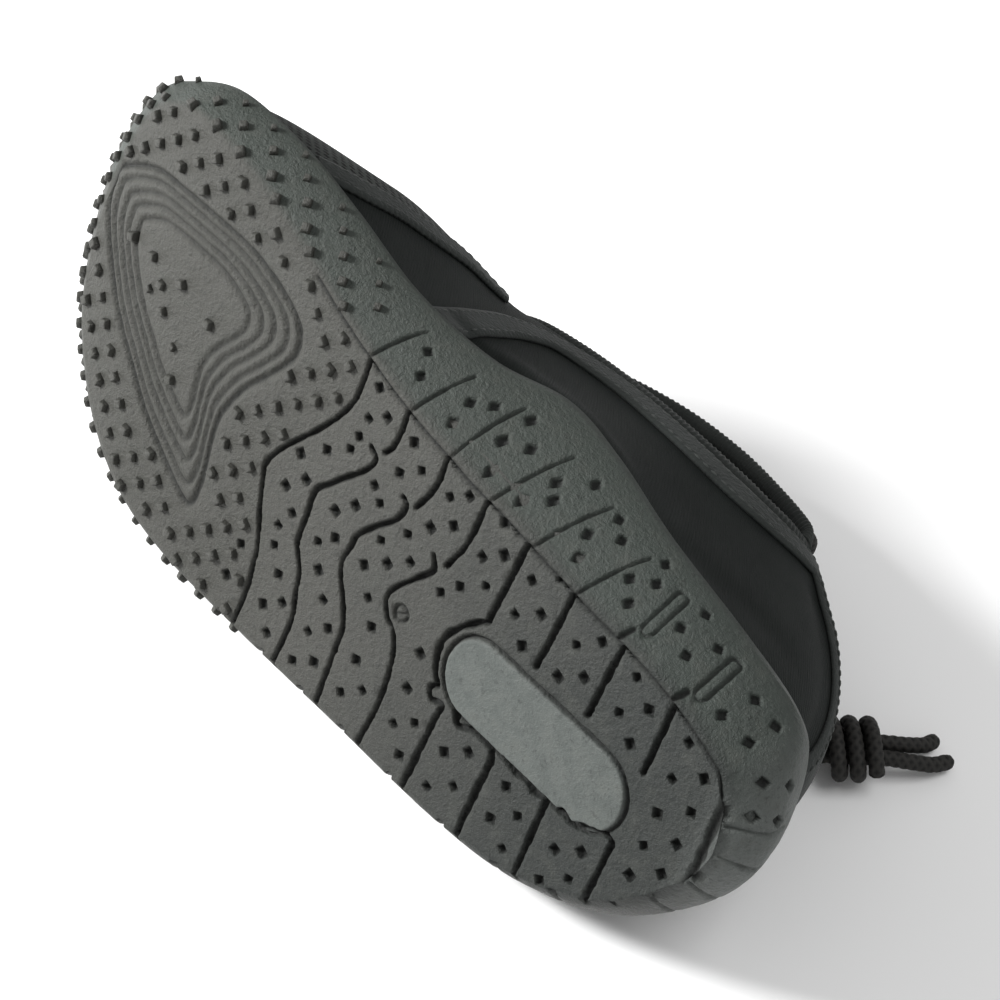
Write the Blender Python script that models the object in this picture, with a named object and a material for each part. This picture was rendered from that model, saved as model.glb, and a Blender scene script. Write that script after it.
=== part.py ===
"""Water shoe for the right foot, lying on its outer side.

The model is built in the shoe's own frame and then tipped over as one:
x runs along the sole from the toe (0) to the heel, y rises from the tread
into the upper, z points to the inner (arch) side of the foot.
An empty carries every piece and lays the shoe down, so that the edge of
the sole and the side of the upper both touch the floor.
"""
import math

import bmesh
import bpy
from mathutils import Matrix, Vector

MM = 0.001

# Driving sizes of the sole
SOLE_LENGTH = 232 * MM
BALL_WIDTH = 105 * MM
WALL_HEIGHT = 26 * MM
FLARE = 16 * MM
TOE_SPRING = 7 * MM
SPRING_REACH = 47 * MM
CUP_WALL = 2.6 * MM
CUP_FLOOR = 4.5 * MM
GROOVE_WIDTH = 1.5 * MM
GROOVE_DEPTH = 1.8 * MM
GROOVE_OVERRUN = 3 * MM
LUG_PITCH = 0.0724 * SOLE_LENGTH
LUG_START = 0.6539 * SOLE_LENGTH
LUG_COUNT = 5
PLATE_LENGTH = 0.2414 * SOLE_LENGTH
PLATE_WIDTH = 0.2048 * BALL_WIDTH
PLATE_CENTRE = (0.7534 * SOLE_LENGTH, -0.1333 * BALL_WIDTH)
PLATE_MARGIN = 2.2 * MM
WAVE_PITCH = 0.0612 * SOLE_LENGTH
WAVE_START = 0.4198 * SOLE_LENGTH
WAVE_COUNT = 4
RING_SCALES = (1.0, 0.79, 0.58)
RIB_WIDTH = 1.4 * MM
RIB_RISE = 0.7 * MM
RIB_ROOT = 1.5 * MM
RIB_SHARES = (0.1, 0.25, 0.4, 0.55, 0.7)

# Driving sizes of the upper and its trim
UPPER_WALL = 2.2 * MM
COLLAR_HEIGHT = 96 * MM
INSOLE_THICKNESS = 3 * MM
INSOLE_EASE = 1.0 * MM
TRIM_THICKNESS = 0.9 * MM
TRIM_WIDTH = 8 * MM
COLLAR_BAND_WIDTH = 9 * MM
HEEL_TAPE_WIDTH = 15 * MM
BINDING_WIDTH = 5.2 * MM
BINDING_THICKNESS = 3.6 * MM
BINDING_SIDES = 6

# Clearances between pieces that touch
GAP = 0.3 * MM
CUP_EASE = 0.5 * MM
TRIM_GAP = 0.45 * MM
BINDING_GAP = 0.6 * MM

# Cord lock and cord
BARREL_ROUNDNESS = 0.75
BUTTON_EDGE_SHARE = 0.2
BARREL_RADIUS = 7.5 * MM
BARREL_LENGTH = 15 * MM
BUTTON_RADIUS = 4 * MM
BUTTON_LENGTH = 11 * MM
BUTTON_STICKS_OUT = 5 * MM
BUTTON_CLEARANCE = 0.35 * MM
BUTTON_TRAVEL = 2.5 * MM
CORD_RADIUS = 1.9 * MM

# Where the cord lock and its cord lie on the floor behind the collar, in
# millimetres of the finished pose
LOCK_PLACE = (47, 44, 7.7)
LOCK_AXIS = (-1, 0, 0)
DROP_FRONT = (
    # x, y, z of the strand nearer the toe, from the binding to the lock
    (47.2, 52.1, 25.2),
    (47.9, 54.0, 22.3),
    (47.2, 54.2, 18.6),
    (45.9, 52.6, 15.4),
    (44.9, 49.9, 12.9),
)
DROP_BACK = (
    # x, y, z of the strand nearer the heel
    (51.6, 50.6, 26.4),
    (52.2, 52.3, 23.6),
    (51.6, 52.9, 19.2),
    (50.2, 51.8, 15.6),
    (49.3, 49.9, 12.9),
)
DROP_STEPS = 8
TAIL = (
    # x, y, z of one strand from the lock through the knot to its end,
    # apart: how far beside it the other strand runs
    (44.9, 36.7, 2.6, 4.4),
    (45.1, 31.0, 2.1, 4.3),
    (48.0, 23.8, 2.1, 4.2),
    (54.6, 17.8, 2.1, 4.2),
    (62.8, 14.4, 2.1, 4.2),
    (70.8, 12.6, 2.4, 4.2),
    (78.4, 13.2, 3.6, 4.2),
    (84.6, 16.7, 5.4, 4.2),
    (89.7, 21.5, 6.5, 4.2),
    (94.5, 26.6, 6.5, 4.2),
    (99.3, 31.7, 6.5, 4.2),
    (103.6, 36.2, 5.4, 4.6),
    (107.0, 41.0, 3.4, 5.6),
    (108.5, 46.0, 2.1, 6.6),
)
TAIL_STEPS = 24
KNOT_CENTRE = (93.0, 28.0, 6.6)
KNOT_WAY = (0.68, 0.73, 0)
KNOT_TURNS = 2.5
KNOT_STEPS = 30
KNOT_PITCH = 4.3
KNOT_HALF_WIDTH = 6.5
KNOT_HALF_HEIGHT = 4.35

# Ribs of the surface: how many around each side and up the wall
VAMP_RIBS = 16
COLLAR_RIBS = 22
SIDE_RIBS = VAMP_RIBS + COLLAR_RIBS
THROAT_SHARE = VAMP_RIBS / SIDE_RIBS
CUP_ROWS = 2
FREE_ROWS = 8
CUP_SHARE = 0.2

# How the sole's wall curves below and above its widest line
FLARE_CURVE = 1.6
LEAN_CURVE = 1.5

# Short steps along the foot's outline and up its wall, to read directions
ROW_STEP = 0.02
SHARE_STEP = 0.02
SURFACE_STEP = 0.004

# One row for each rib around the foot, from the toe tip down the outer
# side to the heel and back up the inner side.
# along: share of SOLE_LENGTH, across: share of BALL_WIDTH (inner side +),
# wall: share of WALL_HEIGHT, flare: how far the tread's edge is set in,
# belly: share of the wall where it is widest, lean: how far the rim is set in
FOOT = (
    # along, across, wall, flare, belly, lean
    (0.000, 0.133, 0.54, 0.38, 0.50, 0.10),
    (0.025, -0.143, 0.54, 0.31, 0.50, 0.10),
    (0.090, -0.330, 0.54, 0.25, 0.45, 0.10),
    (0.177, -0.455, 0.54, 0.19, 0.40, 0.10),
    (0.267, -0.505, 0.54, 0.16, 0.35, 0.10),
    (0.397, -0.513, 0.54, 0.16, 0.35, 0.10),
    (0.547, -0.513, 0.58, 0.19, 0.35, 0.10),
    (0.698, -0.509, 0.65, 0.19, 0.35, 0.10),
    (0.806, -0.477, 0.73, 0.25, 0.35, 0.14),
    (0.905, -0.371, 0.81, 0.30, 0.35, 0.20),
    (0.976, -0.190, 0.88, 0.38, 0.35, 0.30),
    (1.000, -0.030, 0.92, 0.45, 0.35, 0.38),
    (0.976, 0.138, 0.87, 0.58, 0.60, 0.18),
    (0.937, 0.218, 0.81, 0.68, 0.90, 0.05),
    (0.849, 0.276, 0.77, 0.72, 1.00, 0.00),
    (0.742, 0.321, 0.81, 0.88, 1.00, 0.00),
    (0.647, 0.357, 0.96, 0.97, 1.00, 0.00),
    (0.569, 0.376, 1.00, 1.00, 1.00, 0.00),
    (0.491, 0.371, 0.73, 0.81, 1.00, 0.00),
    (0.397, 0.400, 0.56, 0.66, 1.00, 0.00),
    (0.302, 0.460, 0.50, 0.59, 1.00, 0.00),
    (0.216, 0.503, 0.46, 0.50, 1.00, 0.00),
    (0.125, 0.508, 0.46, 0.38, 1.00, 0.00),
    (0.069, 0.463, 0.48, 0.31, 0.80, 0.03),
    (0.023, 0.367, 0.50, 0.34, 0.60, 0.07),
)
VAMP_ROWS = 4
HEEL_ROW = 11

# The line along the top of the vamp, from above the toe to the throat.
# along and across as above, height: share of COLLAR_HEIGHT,
# closure: 1 closes level over the foot, roundness: 1 is an ellipse,
# hollow: 0 swells out over the sole, 1 is straight, 2 curves in first
CREST = (
    # along, across, height, closure, roundness, hollow
    (0.080, 0.067, 0.240, 1.00, 1.10, 0.00),
    (0.121, 0.048, 0.345, 1.00, 1.15, 0.00),
    (0.181, 0.038, 0.490, 1.00, 1.25, 0.00),
    (0.250, 0.057, 0.638, 1.00, 1.25, 0.00),
    (0.319, 0.110, 0.765, 1.00, 1.25, 0.00),
)

# The topline, from the throat along the inner side to the heel and back
# along the outer side, which stands higher because the collar is slack
# and leans to the inner side.
TOPLINE = (
    # along, across, height, closure, roundness, hollow
    (0.319, 0.110, 0.765, 1.00, 1.25, 0.00),
    (0.336, 0.180, 0.735, 0.85, 1.25, 0.00),
    (0.385, 0.238, 0.685, 0.60, 1.20, 0.30),
    (0.460, 0.262, 0.680, 0.35, 1.00, 0.90),
    (0.540, 0.267, 0.690, 0.20, 1.00, 1.40),
    (0.610, 0.267, 0.690, 0.20, 1.00, 1.40),
    (0.670, 0.257, 0.700, 0.25, 1.00, 1.20),
    (0.708, 0.240, 0.725, 0.35, 1.00, 0.80),
    (0.738, 0.213, 0.768, 0.45, 1.05, 0.40),
    (0.752, 0.182, 0.808, 0.55, 1.10, 0.10),
    (0.756, 0.150, 0.843, 0.60, 1.20, 0.00),
    (0.733, 0.128, 0.898, 0.55, 1.20, 0.10),
    (0.675, 0.118, 0.950, 0.50, 1.20, 0.00),
    (0.605, 0.110, 0.985, 0.50, 1.15, 0.00),
    (0.525, 0.100, 0.980, 0.50, 1.15, 0.00),
    (0.440, 0.085, 0.920, 0.55, 1.20, 0.20),
    (0.370, 0.072, 0.820, 0.70, 1.30, 0.10),
    (0.319, 0.110, 0.765, 1.00, 1.25, 0.00),
)
TOPLINE_HEEL = 10

# Outline of the ringed pad under the ball of the foot
PAD = (
    # along, across
    (0.050, 0.205),
    (0.076, 0.268),
    (0.142, 0.296),
    (0.226, 0.290),
    (0.291, 0.266),
    (0.328, 0.220),
    (0.330, 0.160),
    (0.303, 0.033),
    (0.285, -0.090),
    (0.281, -0.180),
    (0.260, -0.262),
    (0.203, -0.262),
    (0.140, -0.171),
    (0.096, -0.069),
    (0.060, 0.074),
    (0.045, 0.146),
)
PAD_CENTRE = (0.182, 0.070)
PAD_SPAN = 2

# How far a wavy groove under the waist runs back from its start
WAVE = (
    # across, back
    (0.280, 0.000),
    (0.200, 0.000),
    (0.120, -0.008),
    (0.060, -0.025),
    (0.000, -0.043),
    (-0.070, -0.060),
    (-0.125, -0.065),
    (-0.185, -0.055),
    (-0.250, -0.040),
    (-0.320, -0.031),
    (-0.450, -0.026),
)

# Routes of the bands over the upper: u as around the foot, v from the cup
# (0) to the crest or topline (1). The trim is laid on both sides.
TRIM_ROUTE = (
    # u, v
    (0.432, 0.285),
    (0.450, 0.345),
    (0.462, 0.440),
    (0.476, 0.540),
    (0.488, 0.680),
    (0.505, 0.780),
    (0.520, 0.850),
)
TRIM_STEPS = 20
BAND_ROUTE = (
    # u, v
    (0.553, 0.285),
    (0.557, 0.480),
    (0.563, 0.680),
    (0.582, 0.835),
    (0.630, 0.905),
    (0.700, 0.920),
    (0.800, 0.920),
    (0.920, 0.935),
    (1.000, 0.945),
    (1.080, 0.952),
    (1.200, 0.958),
    (1.300, 0.960),
    (1.375, 0.945),
    (1.422, 0.860),
    (1.438, 0.680),
    (1.443, 0.480),
    (1.447, 0.285),
)
BAND_STEPS = 64
TAPE_ROUTE = (
    # u, v
    (1.000, 0.300),
    (1.000, 0.600),
    (1.000, 0.835),
)
TAPE_STEPS = 10

# The pose on the floor: the shoe leans over its outer edge until the soft
# side of the upper lies flat on the floor too
REST_LEAN = math.radians(27)
UPWARD = Vector((0, -math.sin(REST_LEAN), math.cos(REST_LEAN)))
PRESS_EASE = 2.5 * MM
TRIM_CLEARANCE = 1.6 * MM
CLEAR_FROM = 1.35
CLEAR_FADE = 0.06

# Rings of the sole's outer wall, as shares of its height
SOLE_SHARES = (0.0, 0.08, 0.25, 0.5, 0.75, 1.0)


def clear_scene():
    """Remove every object of the opened scene."""
    for item in list(bpy.data.objects):
        bpy.data.objects.remove(item, do_unlink=True)


def material(name, colour, roughness, metallic=0.0):
    """A plain surface with the piece's own colour."""
    made = bpy.data.materials.new(name)
    made.use_nodes = True
    shader = made.node_tree.nodes["Principled BSDF"]
    shader.inputs["Base Color"].default_value = (*colour, 1.0)
    shader.inputs["Roughness"].default_value = roughness
    shader.inputs["Metallic"].default_value = metallic
    made.diffuse_color = (*colour, 1.0)
    return made


def add_mesh(name, points, faces, surface, smooth=True):
    """Make an object from points and faces, with its faces turned out."""
    work = bmesh.new()
    corners = [work.verts.new(p) for p in points]
    for face in faces:
        work.faces.new([corners[i] for i in face])
    bmesh.ops.remove_doubles(work, verts=work.verts[:], dist=0.001 * MM)
    bmesh.ops.recalc_face_normals(work, faces=work.faces[:])
    if work.calc_volume(signed=True) < 0:
        bmesh.ops.reverse_faces(work, faces=work.faces[:])
    mesh = bpy.data.meshes.new(name)
    work.to_mesh(mesh)
    work.free()
    made = bpy.data.objects.new(name, mesh)
    bpy.context.scene.collection.objects.link(made)
    if surface is not None:
        mesh.materials.append(surface)
    if smooth:
        mesh.shade_smooth()
        mesh.set_sharp_from_angle(angle=math.radians(40))
    return made


def as_cutter(item):
    """Mark an object as a guide that is not a piece of the shoe."""
    item.hide_render = True
    item.display_type = "WIRE"
    return item


def combine(item, tool, operation):
    """Cut one object by another, or join the two."""
    step = item.modifiers.new(tool.name, "BOOLEAN")
    step.operation = operation
    step.solver = "EXACT"
    step.object = tool


def blend(rows, place, closed):
    """Read a table of rows at a place between them, along a smooth curve."""
    count = len(rows)
    span = math.floor(place)
    if not closed:
        span = min(max(span, 0), count - 2)
    t = place - span

    def row(i):
        if closed:
            return rows[i % count]
        if i < 0:
            return tuple(2 * a - b for a, b in zip(rows[0], rows[1]))
        if i >= count:
            return tuple(2 * a - b for a, b in zip(rows[-1], rows[-2]))
        return rows[i]

    out = []
    for a, b, c, d in zip(row(span - 1), row(span), row(span + 1), row(span + 2)):
        out.append(0.5 * (2 * b + (c - a) * t + (2 * a - 5 * b + 4 * c - d) * t * t
                          + (3 * b - a - 3 * c + d) * t ** 3))
    return out


def lift(x):
    """Height of the tread over the ground: the toe spring."""
    if x >= SPRING_REACH:
        return 0.0
    return TOE_SPRING * ((SPRING_REACH - x) / SPRING_REACH) ** 2


def foot_place(u):
    """Row of FOOT for a rib: u runs 0 toe, 1 heel, 2 toe again."""
    share = u if u <= 1 else 2 - u
    if share <= THROAT_SHARE:
        steps = VAMP_ROWS * share / THROAT_SHARE
        return len(FOOT) - steps if u <= 1 else steps
    beyond = (share - THROAT_SHARE) / (1 - THROAT_SHARE)
    if u <= 1:
        first = len(FOOT) - VAMP_ROWS
        return first - (first - HEEL_ROW) * beyond
    return VAMP_ROWS + (HEEL_ROW - VAMP_ROWS) * beyond


def foot_rib(u):
    """Widest point, outward direction and the wall's shape at a rib."""
    place = foot_place(u)
    along, across, wall, flare, belly, lean = blend(FOOT, place, True)
    ahead = blend(FOOT, place + ROW_STEP, True)
    behind = blend(FOOT, place - ROW_STEP, True)
    run = (ahead[0] - behind[0]) * SOLE_LENGTH
    side = (ahead[1] - behind[1]) * BALL_WIDTH
    size = math.hypot(run, side)
    outward = Vector((side / size, 0, -run / size))
    widest = Vector((along * SOLE_LENGTH, 0, across * BALL_WIDTH))
    return widest, outward, wall * WALL_HEIGHT, (flare * FLARE, min(belly, 1.0), lean * FLARE)


def wall_point(u, share, inward=0.0, least=0.0):
    """Point on the sole's outer wall, share 0 at the tread, 1 at the rim."""
    widest, outward, wall, (flare, belly, lean) = foot_rib(u)
    if share < belly:
        inset = flare * (1 - share / belly) ** FLARE_CURVE
    elif belly < 1:
        inset = lean * ((share - belly) / (1 - belly)) ** LEAN_CURVE
    else:
        inset = 0.0
    point = widest - outward * (inset + inward)
    low = lift(point.x)
    point.y = max(low + (wall - low) * share, low + least)
    return point


def rib_places():
    """The ribs once around the foot, toe to heel to toe."""
    return [i / SIDE_RIBS for i in range(2 * SIDE_RIBS)]


def top_of(u):
    """Where a rib of the upper ends: on the crest or on the topline."""
    share = u if u <= 1 else 2 - u
    if share <= THROAT_SHARE:
        row = blend(CREST, VAMP_ROWS * share / THROAT_SHARE, False)
    else:
        beyond = (share - THROAT_SHARE) / (1 - THROAT_SHARE)
        last = len(TOPLINE) - 1
        if u <= 1:
            place = TOPLINE_HEEL * beyond
        else:
            place = last - (last - TOPLINE_HEEL) * beyond
        row = blend(TOPLINE, place, False)
    along, across, height, closure, roundness, hollow = row
    point = Vector((along * SOLE_LENGTH, height * COLLAR_HEIGHT, across * BALL_WIDTH))
    return point, (min(closure, 1.0), roundness, hollow)


def floor_level():
    """How low the sole's outer edge reaches once the shoe lies down."""
    rings = [wall_point(u, share) for u in rib_places() for share in SOLE_SHARES]
    return min(point.dot(UPWARD) for point in rings)


def pressed(point, u):
    """The soft side of the upper lies flat where it would pass the floor."""
    fade = min(max((u - CLEAR_FROM) / CLEAR_FADE, 0.0), 1.0)
    clear = TRIM_CLEARANCE * fade * fade * (3 - 2 * fade)
    height = point.dot(UPWARD) - FLOOR_LEVEL - clear
    if height > PRESS_EASE:
        return point
    rest = max(height + PRESS_EASE, 0.0) ** 2 / (4 * PRESS_EASE)
    return point + UPWARD * (rest - height)


def upper_point(u, v):
    """Outer surface of the upper: v runs 0 in the sole's cup to 1 at the top."""
    inside = CUP_WALL + CUP_EASE
    if v <= CUP_SHARE:
        floor = CUP_FLOOR + GAP
        widest, outward, wall, shape = foot_rib(u)
        low = lift(widest.x)
        start = floor / (wall - low)
        share = start + (1 - start) * v / CUP_SHARE
        return wall_point(u, share, inside)
    base = wall_point(u, 1.0, inside)
    top, (closure, roundness, hollow) = top_of(u)
    full = closure * math.pi / 2
    angle = full * (v - CUP_SHARE) / (1 - CUP_SHARE)
    rise = (math.sin(angle) / math.sin(full)) ** roundness
    run = (1 - max(math.cos(angle), 0.0) ** roundness) / (1 - max(math.cos(full), 0.0) ** roundness)
    run += hollow * rise * (1 - rise)
    point = base + (top - base) * run
    point.y = base.y + (top.y - base.y) * rise
    return pressed(point, u)


def slopes(u, v):
    """Directions along and up the upper's surface, and its outward normal."""
    step = SURFACE_STEP
    along = upper_point((u + step) % 2, v) - upper_point((u - step) % 2, v)
    low = max(v - step, 0.0)
    high = min(v + step, 1.0)
    up = upper_point(u, high) - upper_point(u, low)
    outward = along.cross(up).normalized()
    return along / (2 * step), up / (high - low), outward


FLOOR_LEVEL = floor_level()


def bridge(lower, upper, closed=True):
    """Faces between two rows of point numbers."""
    count = len(lower)
    spans = count if closed else count - 1
    faces = []
    for i in range(spans):
        j = (i + 1) % count
        faces.append((lower[i], lower[j], upper[j], upper[i]))
    return faces


def cap(row):
    """Close a ring around the foot by faces from side to side."""
    count = len(row)
    faces = []
    for i in range(SIDE_RIBS):
        near = (row[i], row[i + 1])
        far = (row[(count - i - 1) % count], row[(count - i) % count])
        face = list(dict.fromkeys((near[0], near[1], far[0], far[1])))
        faces.append(tuple(face))
    return faces


def rings_solid(name, rings, surface):
    """A closed body from rings around the foot, capped at both ends."""
    points = []
    rows = []
    for ring in rings:
        rows.append(list(range(len(points), len(points) + len(ring))))
        points.extend(ring)
    faces = []
    for lower, upper in zip(rows, rows[1:]):
        faces.extend(bridge(lower, upper))
    faces.extend(cap(rows[0]))
    faces.extend(cap(rows[-1]))
    return add_mesh(name, points, faces, surface)


def sweep(sections, closed):
    """Points and faces of a section carried along a route."""
    size = len(sections[0])
    out = [p for section in sections for p in section]
    rows = [list(range(i * size, (i + 1) * size)) for i in range(len(sections))]
    faces = []
    pairs = list(zip(rows, rows[1:]))
    if closed:
        pairs.append((rows[-1], rows[0]))
    for lower, upper in pairs:
        faces.extend(bridge(lower, upper))
    if not closed:
        faces.append(tuple(rows[0]))
        faces.append(tuple(rows[-1]))
    return out, faces


def channel(route, closed=False):
    """A strip that cuts a groove of the tread along a route of (x, z)."""
    sections = []
    count = len(route)
    for i, (x, z) in enumerate(route):
        if closed:
            before, after = route[i - 1], route[(i + 1) % count]
        else:
            before, after = route[max(i - 1, 0)], route[min(i + 1, count - 1)]
        way = Vector((after[0] - before[0], 0, after[1] - before[1])).normalized()
        side = Vector((way.z, 0, -way.x)) * GROOVE_WIDTH / 2
        section = []
        for sign, inside in ((1, False), (1, True), (-1, True), (-1, False)):
            spot = Vector((x, 0, z)) + side * sign
            spot.y = lift(spot.x) + GROOVE_DEPTH if inside else -GROOVE_OVERRUN
            section.append(spot)
        sections.append(section)
    return sweep(sections, closed)


def tread_edge(x, side):
    """Across position of the tread's edge at a length x, side +1 or -1."""
    best = None
    for i in range(SIDE_RIBS + 1):
        u = i / SIDE_RIBS if side > 0 else 2 - i / SIDE_RIBS
        spot = wall_point(u % 2, 0.0)
        if best is None or abs(spot.x - x) < abs(best.x - x):
            best = spot
    return best.z


def lug_routes():
    """Straight grooves under the heel, broken by the plate."""
    reach = PLATE_WIDTH / 2 + PLATE_MARGIN
    routes = []
    for i in range(LUG_COUNT):
        x = LUG_START + i * LUG_PITCH
        inner = tread_edge(x, 1) + GROOVE_OVERRUN
        outer = tread_edge(x, -1) - GROOVE_OVERRUN
        over = abs(x - PLATE_CENTRE[0]) - (PLATE_LENGTH - PLATE_WIDTH) / 2
        half = reach
        if over > 0:
            half = math.sqrt(max(reach ** 2 - over ** 2, 0.0))
        if half > 0:
            routes.append([(x, inner), (x, PLATE_CENTRE[1] + half)])
            routes.append([(x, PLATE_CENTRE[1] - half), (x, outer)])
        else:
            routes.append([(x, inner), (x, outer)])
    return routes


def plate_route():
    """The stadium outline of the plain plate under the heel."""
    radius = PLATE_WIDTH / 2
    straight = (PLATE_LENGTH - PLATE_WIDTH) / 2
    route = []
    steps = 8
    for end in (1, -1):
        for i in range(steps + 1):
            turn = math.pi * i / steps - math.pi / 2
            x = PLATE_CENTRE[0] + end * (straight + radius * math.cos(turn))
            z = PLATE_CENTRE[1] + end * radius * math.sin(turn)
            route.append((x, z))
    return route


def wave_routes():
    """Wavy grooves across the waist, one behind the other."""
    routes = []
    for i in range(WAVE_COUNT):
        start = WAVE_START + i * WAVE_PITCH
        route = []
        for k in range(2 * len(WAVE) - 1):
            across, back = blend(WAVE, k / 2, False)
            x = start + back * SOLE_LENGTH
            z = across * BALL_WIDTH
            edge = tread_edge(x, -1) - GROOVE_OVERRUN
            at_plate = math.hypot(x - plate_end(), z - PLATE_CENTRE[1])
            if z > edge and at_plate > PLATE_WIDTH / 2 + PLATE_MARGIN:
                route.append((x, z))
        routes.append(route)
    return routes


def plate_end():
    """Centre of the plate's rounded end toward the waist."""
    return PLATE_CENTRE[0] - (PLATE_LENGTH - PLATE_WIDTH) / 2


def pad_routes():
    """Nested rounded triangles under the ball of the foot."""
    routes = []
    for scale in RING_SCALES:
        route = []
        for k in range(PAD_SPAN * len(PAD)):
            along, across = blend(PAD, k / PAD_SPAN, True)
            along = PAD_CENTRE[0] + (along - PAD_CENTRE[0]) * scale
            across = PAD_CENTRE[1] + (across - PAD_CENTRE[1]) * scale
            route.append((along * SOLE_LENGTH, across * BALL_WIDTH))
        routes.append(route)
    return routes


def tread_channels():
    """All grooves of the tread, joined in one guide."""
    points = []
    faces = []
    routes = [(r, False) for r in lug_routes() + wave_routes()]
    routes += [(r, True) for r in pad_routes() + [plate_route()]]
    for route, closed in routes:
        more, sides = channel(route, closed)
        base = len(points)
        points.extend(more)
        faces.extend(tuple(i + base for i in face) for face in sides)
    return as_cutter(add_mesh("tread_channels", points, faces, None, smooth=False))


def side_ribs():
    """Low ribs that carry the grooves on up the sole's side."""
    lengths = [WAVE_START + i * WAVE_PITCH for i in range(WAVE_COUNT)]
    lengths += [LUG_START + i * LUG_PITCH for i in range(LUG_COUNT)]
    points = []
    faces = []
    for x in lengths:
        for side in (1, -1):
            more, sides = side_rib(x, side)
            base = len(points)
            points.extend(more)
            faces.extend(tuple(i + base for i in face) for face in sides)
    return as_cutter(add_mesh("side_ribs", points, faces, None, smooth=False))


def rib_at(x, side):
    """The u of the rib whose rim lies at a length x."""
    best = min(range(20 * SIDE_RIBS), key=lambda i: abs(
        foot_rib(i / 20 / SIDE_RIBS if side > 0 else 2 - i / 20 / SIDE_RIBS)[0].x - x))
    return best / 20 / SIDE_RIBS if side > 0 else (2 - best / 20 / SIDE_RIBS) % 2


def side_rib(x, side):
    """One low rib up the sole's side."""
    u = rib_at(x, side)
    widest, outward, wall, shape = foot_rib(u)
    way = Vector((outward.z, 0, -outward.x)) * RIB_WIDTH / 2
    sections = []
    for share in RIB_SHARES:
        spot = wall_point(u, share)
        rise = (wall_point(u, share + SHARE_STEP) - wall_point(u, share - SHARE_STEP)).normalized()
        face_out = (outward - rise * outward.dot(rise)).normalized()
        out = face_out * RIB_RISE
        back = face_out * -RIB_ROOT
        sections.append([spot + out + way, spot + out - way, spot + back - way, spot + back + way])
    return sweep(sections, False)


def outsole(surface):
    """Cup sole: flat tread, flared wall, hollow inside for the upper."""
    places = rib_places()
    rings = []
    for share in SOLE_SHARES:
        rings.append([wall_point(u, share) for u in places])
    for share in (1.0, 0.75, 0.5):
        rings.append([wall_point(u, share, CUP_WALL, CUP_FLOOR) for u in places])
    floor = []
    for u in places:
        widest, outward, wall, shape = foot_rib(u)
        low = lift(widest.x)
        spot = wall_point(u, CUP_FLOOR / (wall - low), CUP_WALL)
        spot.y = lift(spot.x) + CUP_FLOOR
        floor.append(spot)
    rings.append(floor)
    sole = rings_solid("outsole", rings, surface)
    combine(sole, tread_channels(), "DIFFERENCE")
    combine(sole, side_ribs(), "UNION")
    return sole


def insole(surface):
    """Foam footbed on the cup's floor, inside the upper."""
    inward = CUP_WALL + CUP_EASE + UPPER_WALL + INSOLE_EASE
    rings = []
    for height in (CUP_FLOOR + GAP, CUP_FLOOR + GAP + INSOLE_THICKNESS):
        ring = []
        for u in rib_places():
            widest, outward, wall, shape = foot_rib(u)
            low = lift(widest.x)
            spot = wall_point(u, (CUP_FLOOR + GAP) / (wall - low), inward)
            spot.y = lift(spot.x) + height
            ring.append(spot)
        rings.append(ring)
    return rings_solid("insole", rings, surface)


def upper(surface):
    """The hollow upper: closed over the vamp, open at collar and underneath."""
    places = rib_places()
    shares = [CUP_SHARE * i / CUP_ROWS for i in range(CUP_ROWS)]
    shares += [CUP_SHARE + (1 - CUP_SHARE) * i / FREE_ROWS for i in range(FREE_ROWS + 1)]
    points = []
    rows = []
    for v in shares:
        rows.append(list(range(len(points), len(points) + len(places))))
        points.extend(upper_point(u, v) for u in places)
    faces = []
    for lower, higher in zip(rows, rows[1:]):
        faces.extend(bridge(lower, higher))
    made = add_mesh("upper", points, faces, surface)
    mesh = made.data
    if mesh.polygons[0].normal.dot(slopes(0.0, 0.05)[2]) < 0:
        mesh.flip_normals()
    wall = made.modifiers.new("wall", "SOLIDIFY")
    wall.thickness = UPPER_WALL
    wall.offset = -1.0
    wall.use_even_offset = True
    wall.use_rim = True
    return made


def strip(name, route, width, surface, cells=2):
    """A band laid on the upper along a route of (u, v) on its surface."""
    count = len(route)
    sections = []
    for i, (u, v) in enumerate(route):
        before = Vector(upper_point(*route[max(i - 1, 0)]))
        after = Vector(upper_point(*route[min(i + 1, count - 1)]))
        along, up, outward = slopes(u, v)
        across = outward.cross(after - before).normalized()
        low = []
        high = []
        for k in range(cells + 1):
            reach = width * (k / cells - 0.5)
            du, dv = surface_step(along, up, across * reach)
            spot_u = (u + du) % 2
            spot_v = min(max(v + dv, 0.0), 0.995)
            spot = upper_point(spot_u, spot_v)
            out = slopes(spot_u, spot_v)[2]
            low.append(spot + out * TRIM_GAP)
            high.append(spot + out * (TRIM_GAP + TRIM_THICKNESS))
        sections.append(low + high[::-1])
    points, faces = sweep(sections, False)
    return add_mesh(name, points, faces, surface)


def surface_step(along, up, move):
    """Turn a short move on the surface into steps of u and v."""
    a = along.dot(along)
    b = along.dot(up)
    c = up.dot(up)
    p = along.dot(move)
    q = up.dot(move)
    det = a * c - b * b
    return (p * c - q * b) / det, (q * a - p * b) / det


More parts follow.
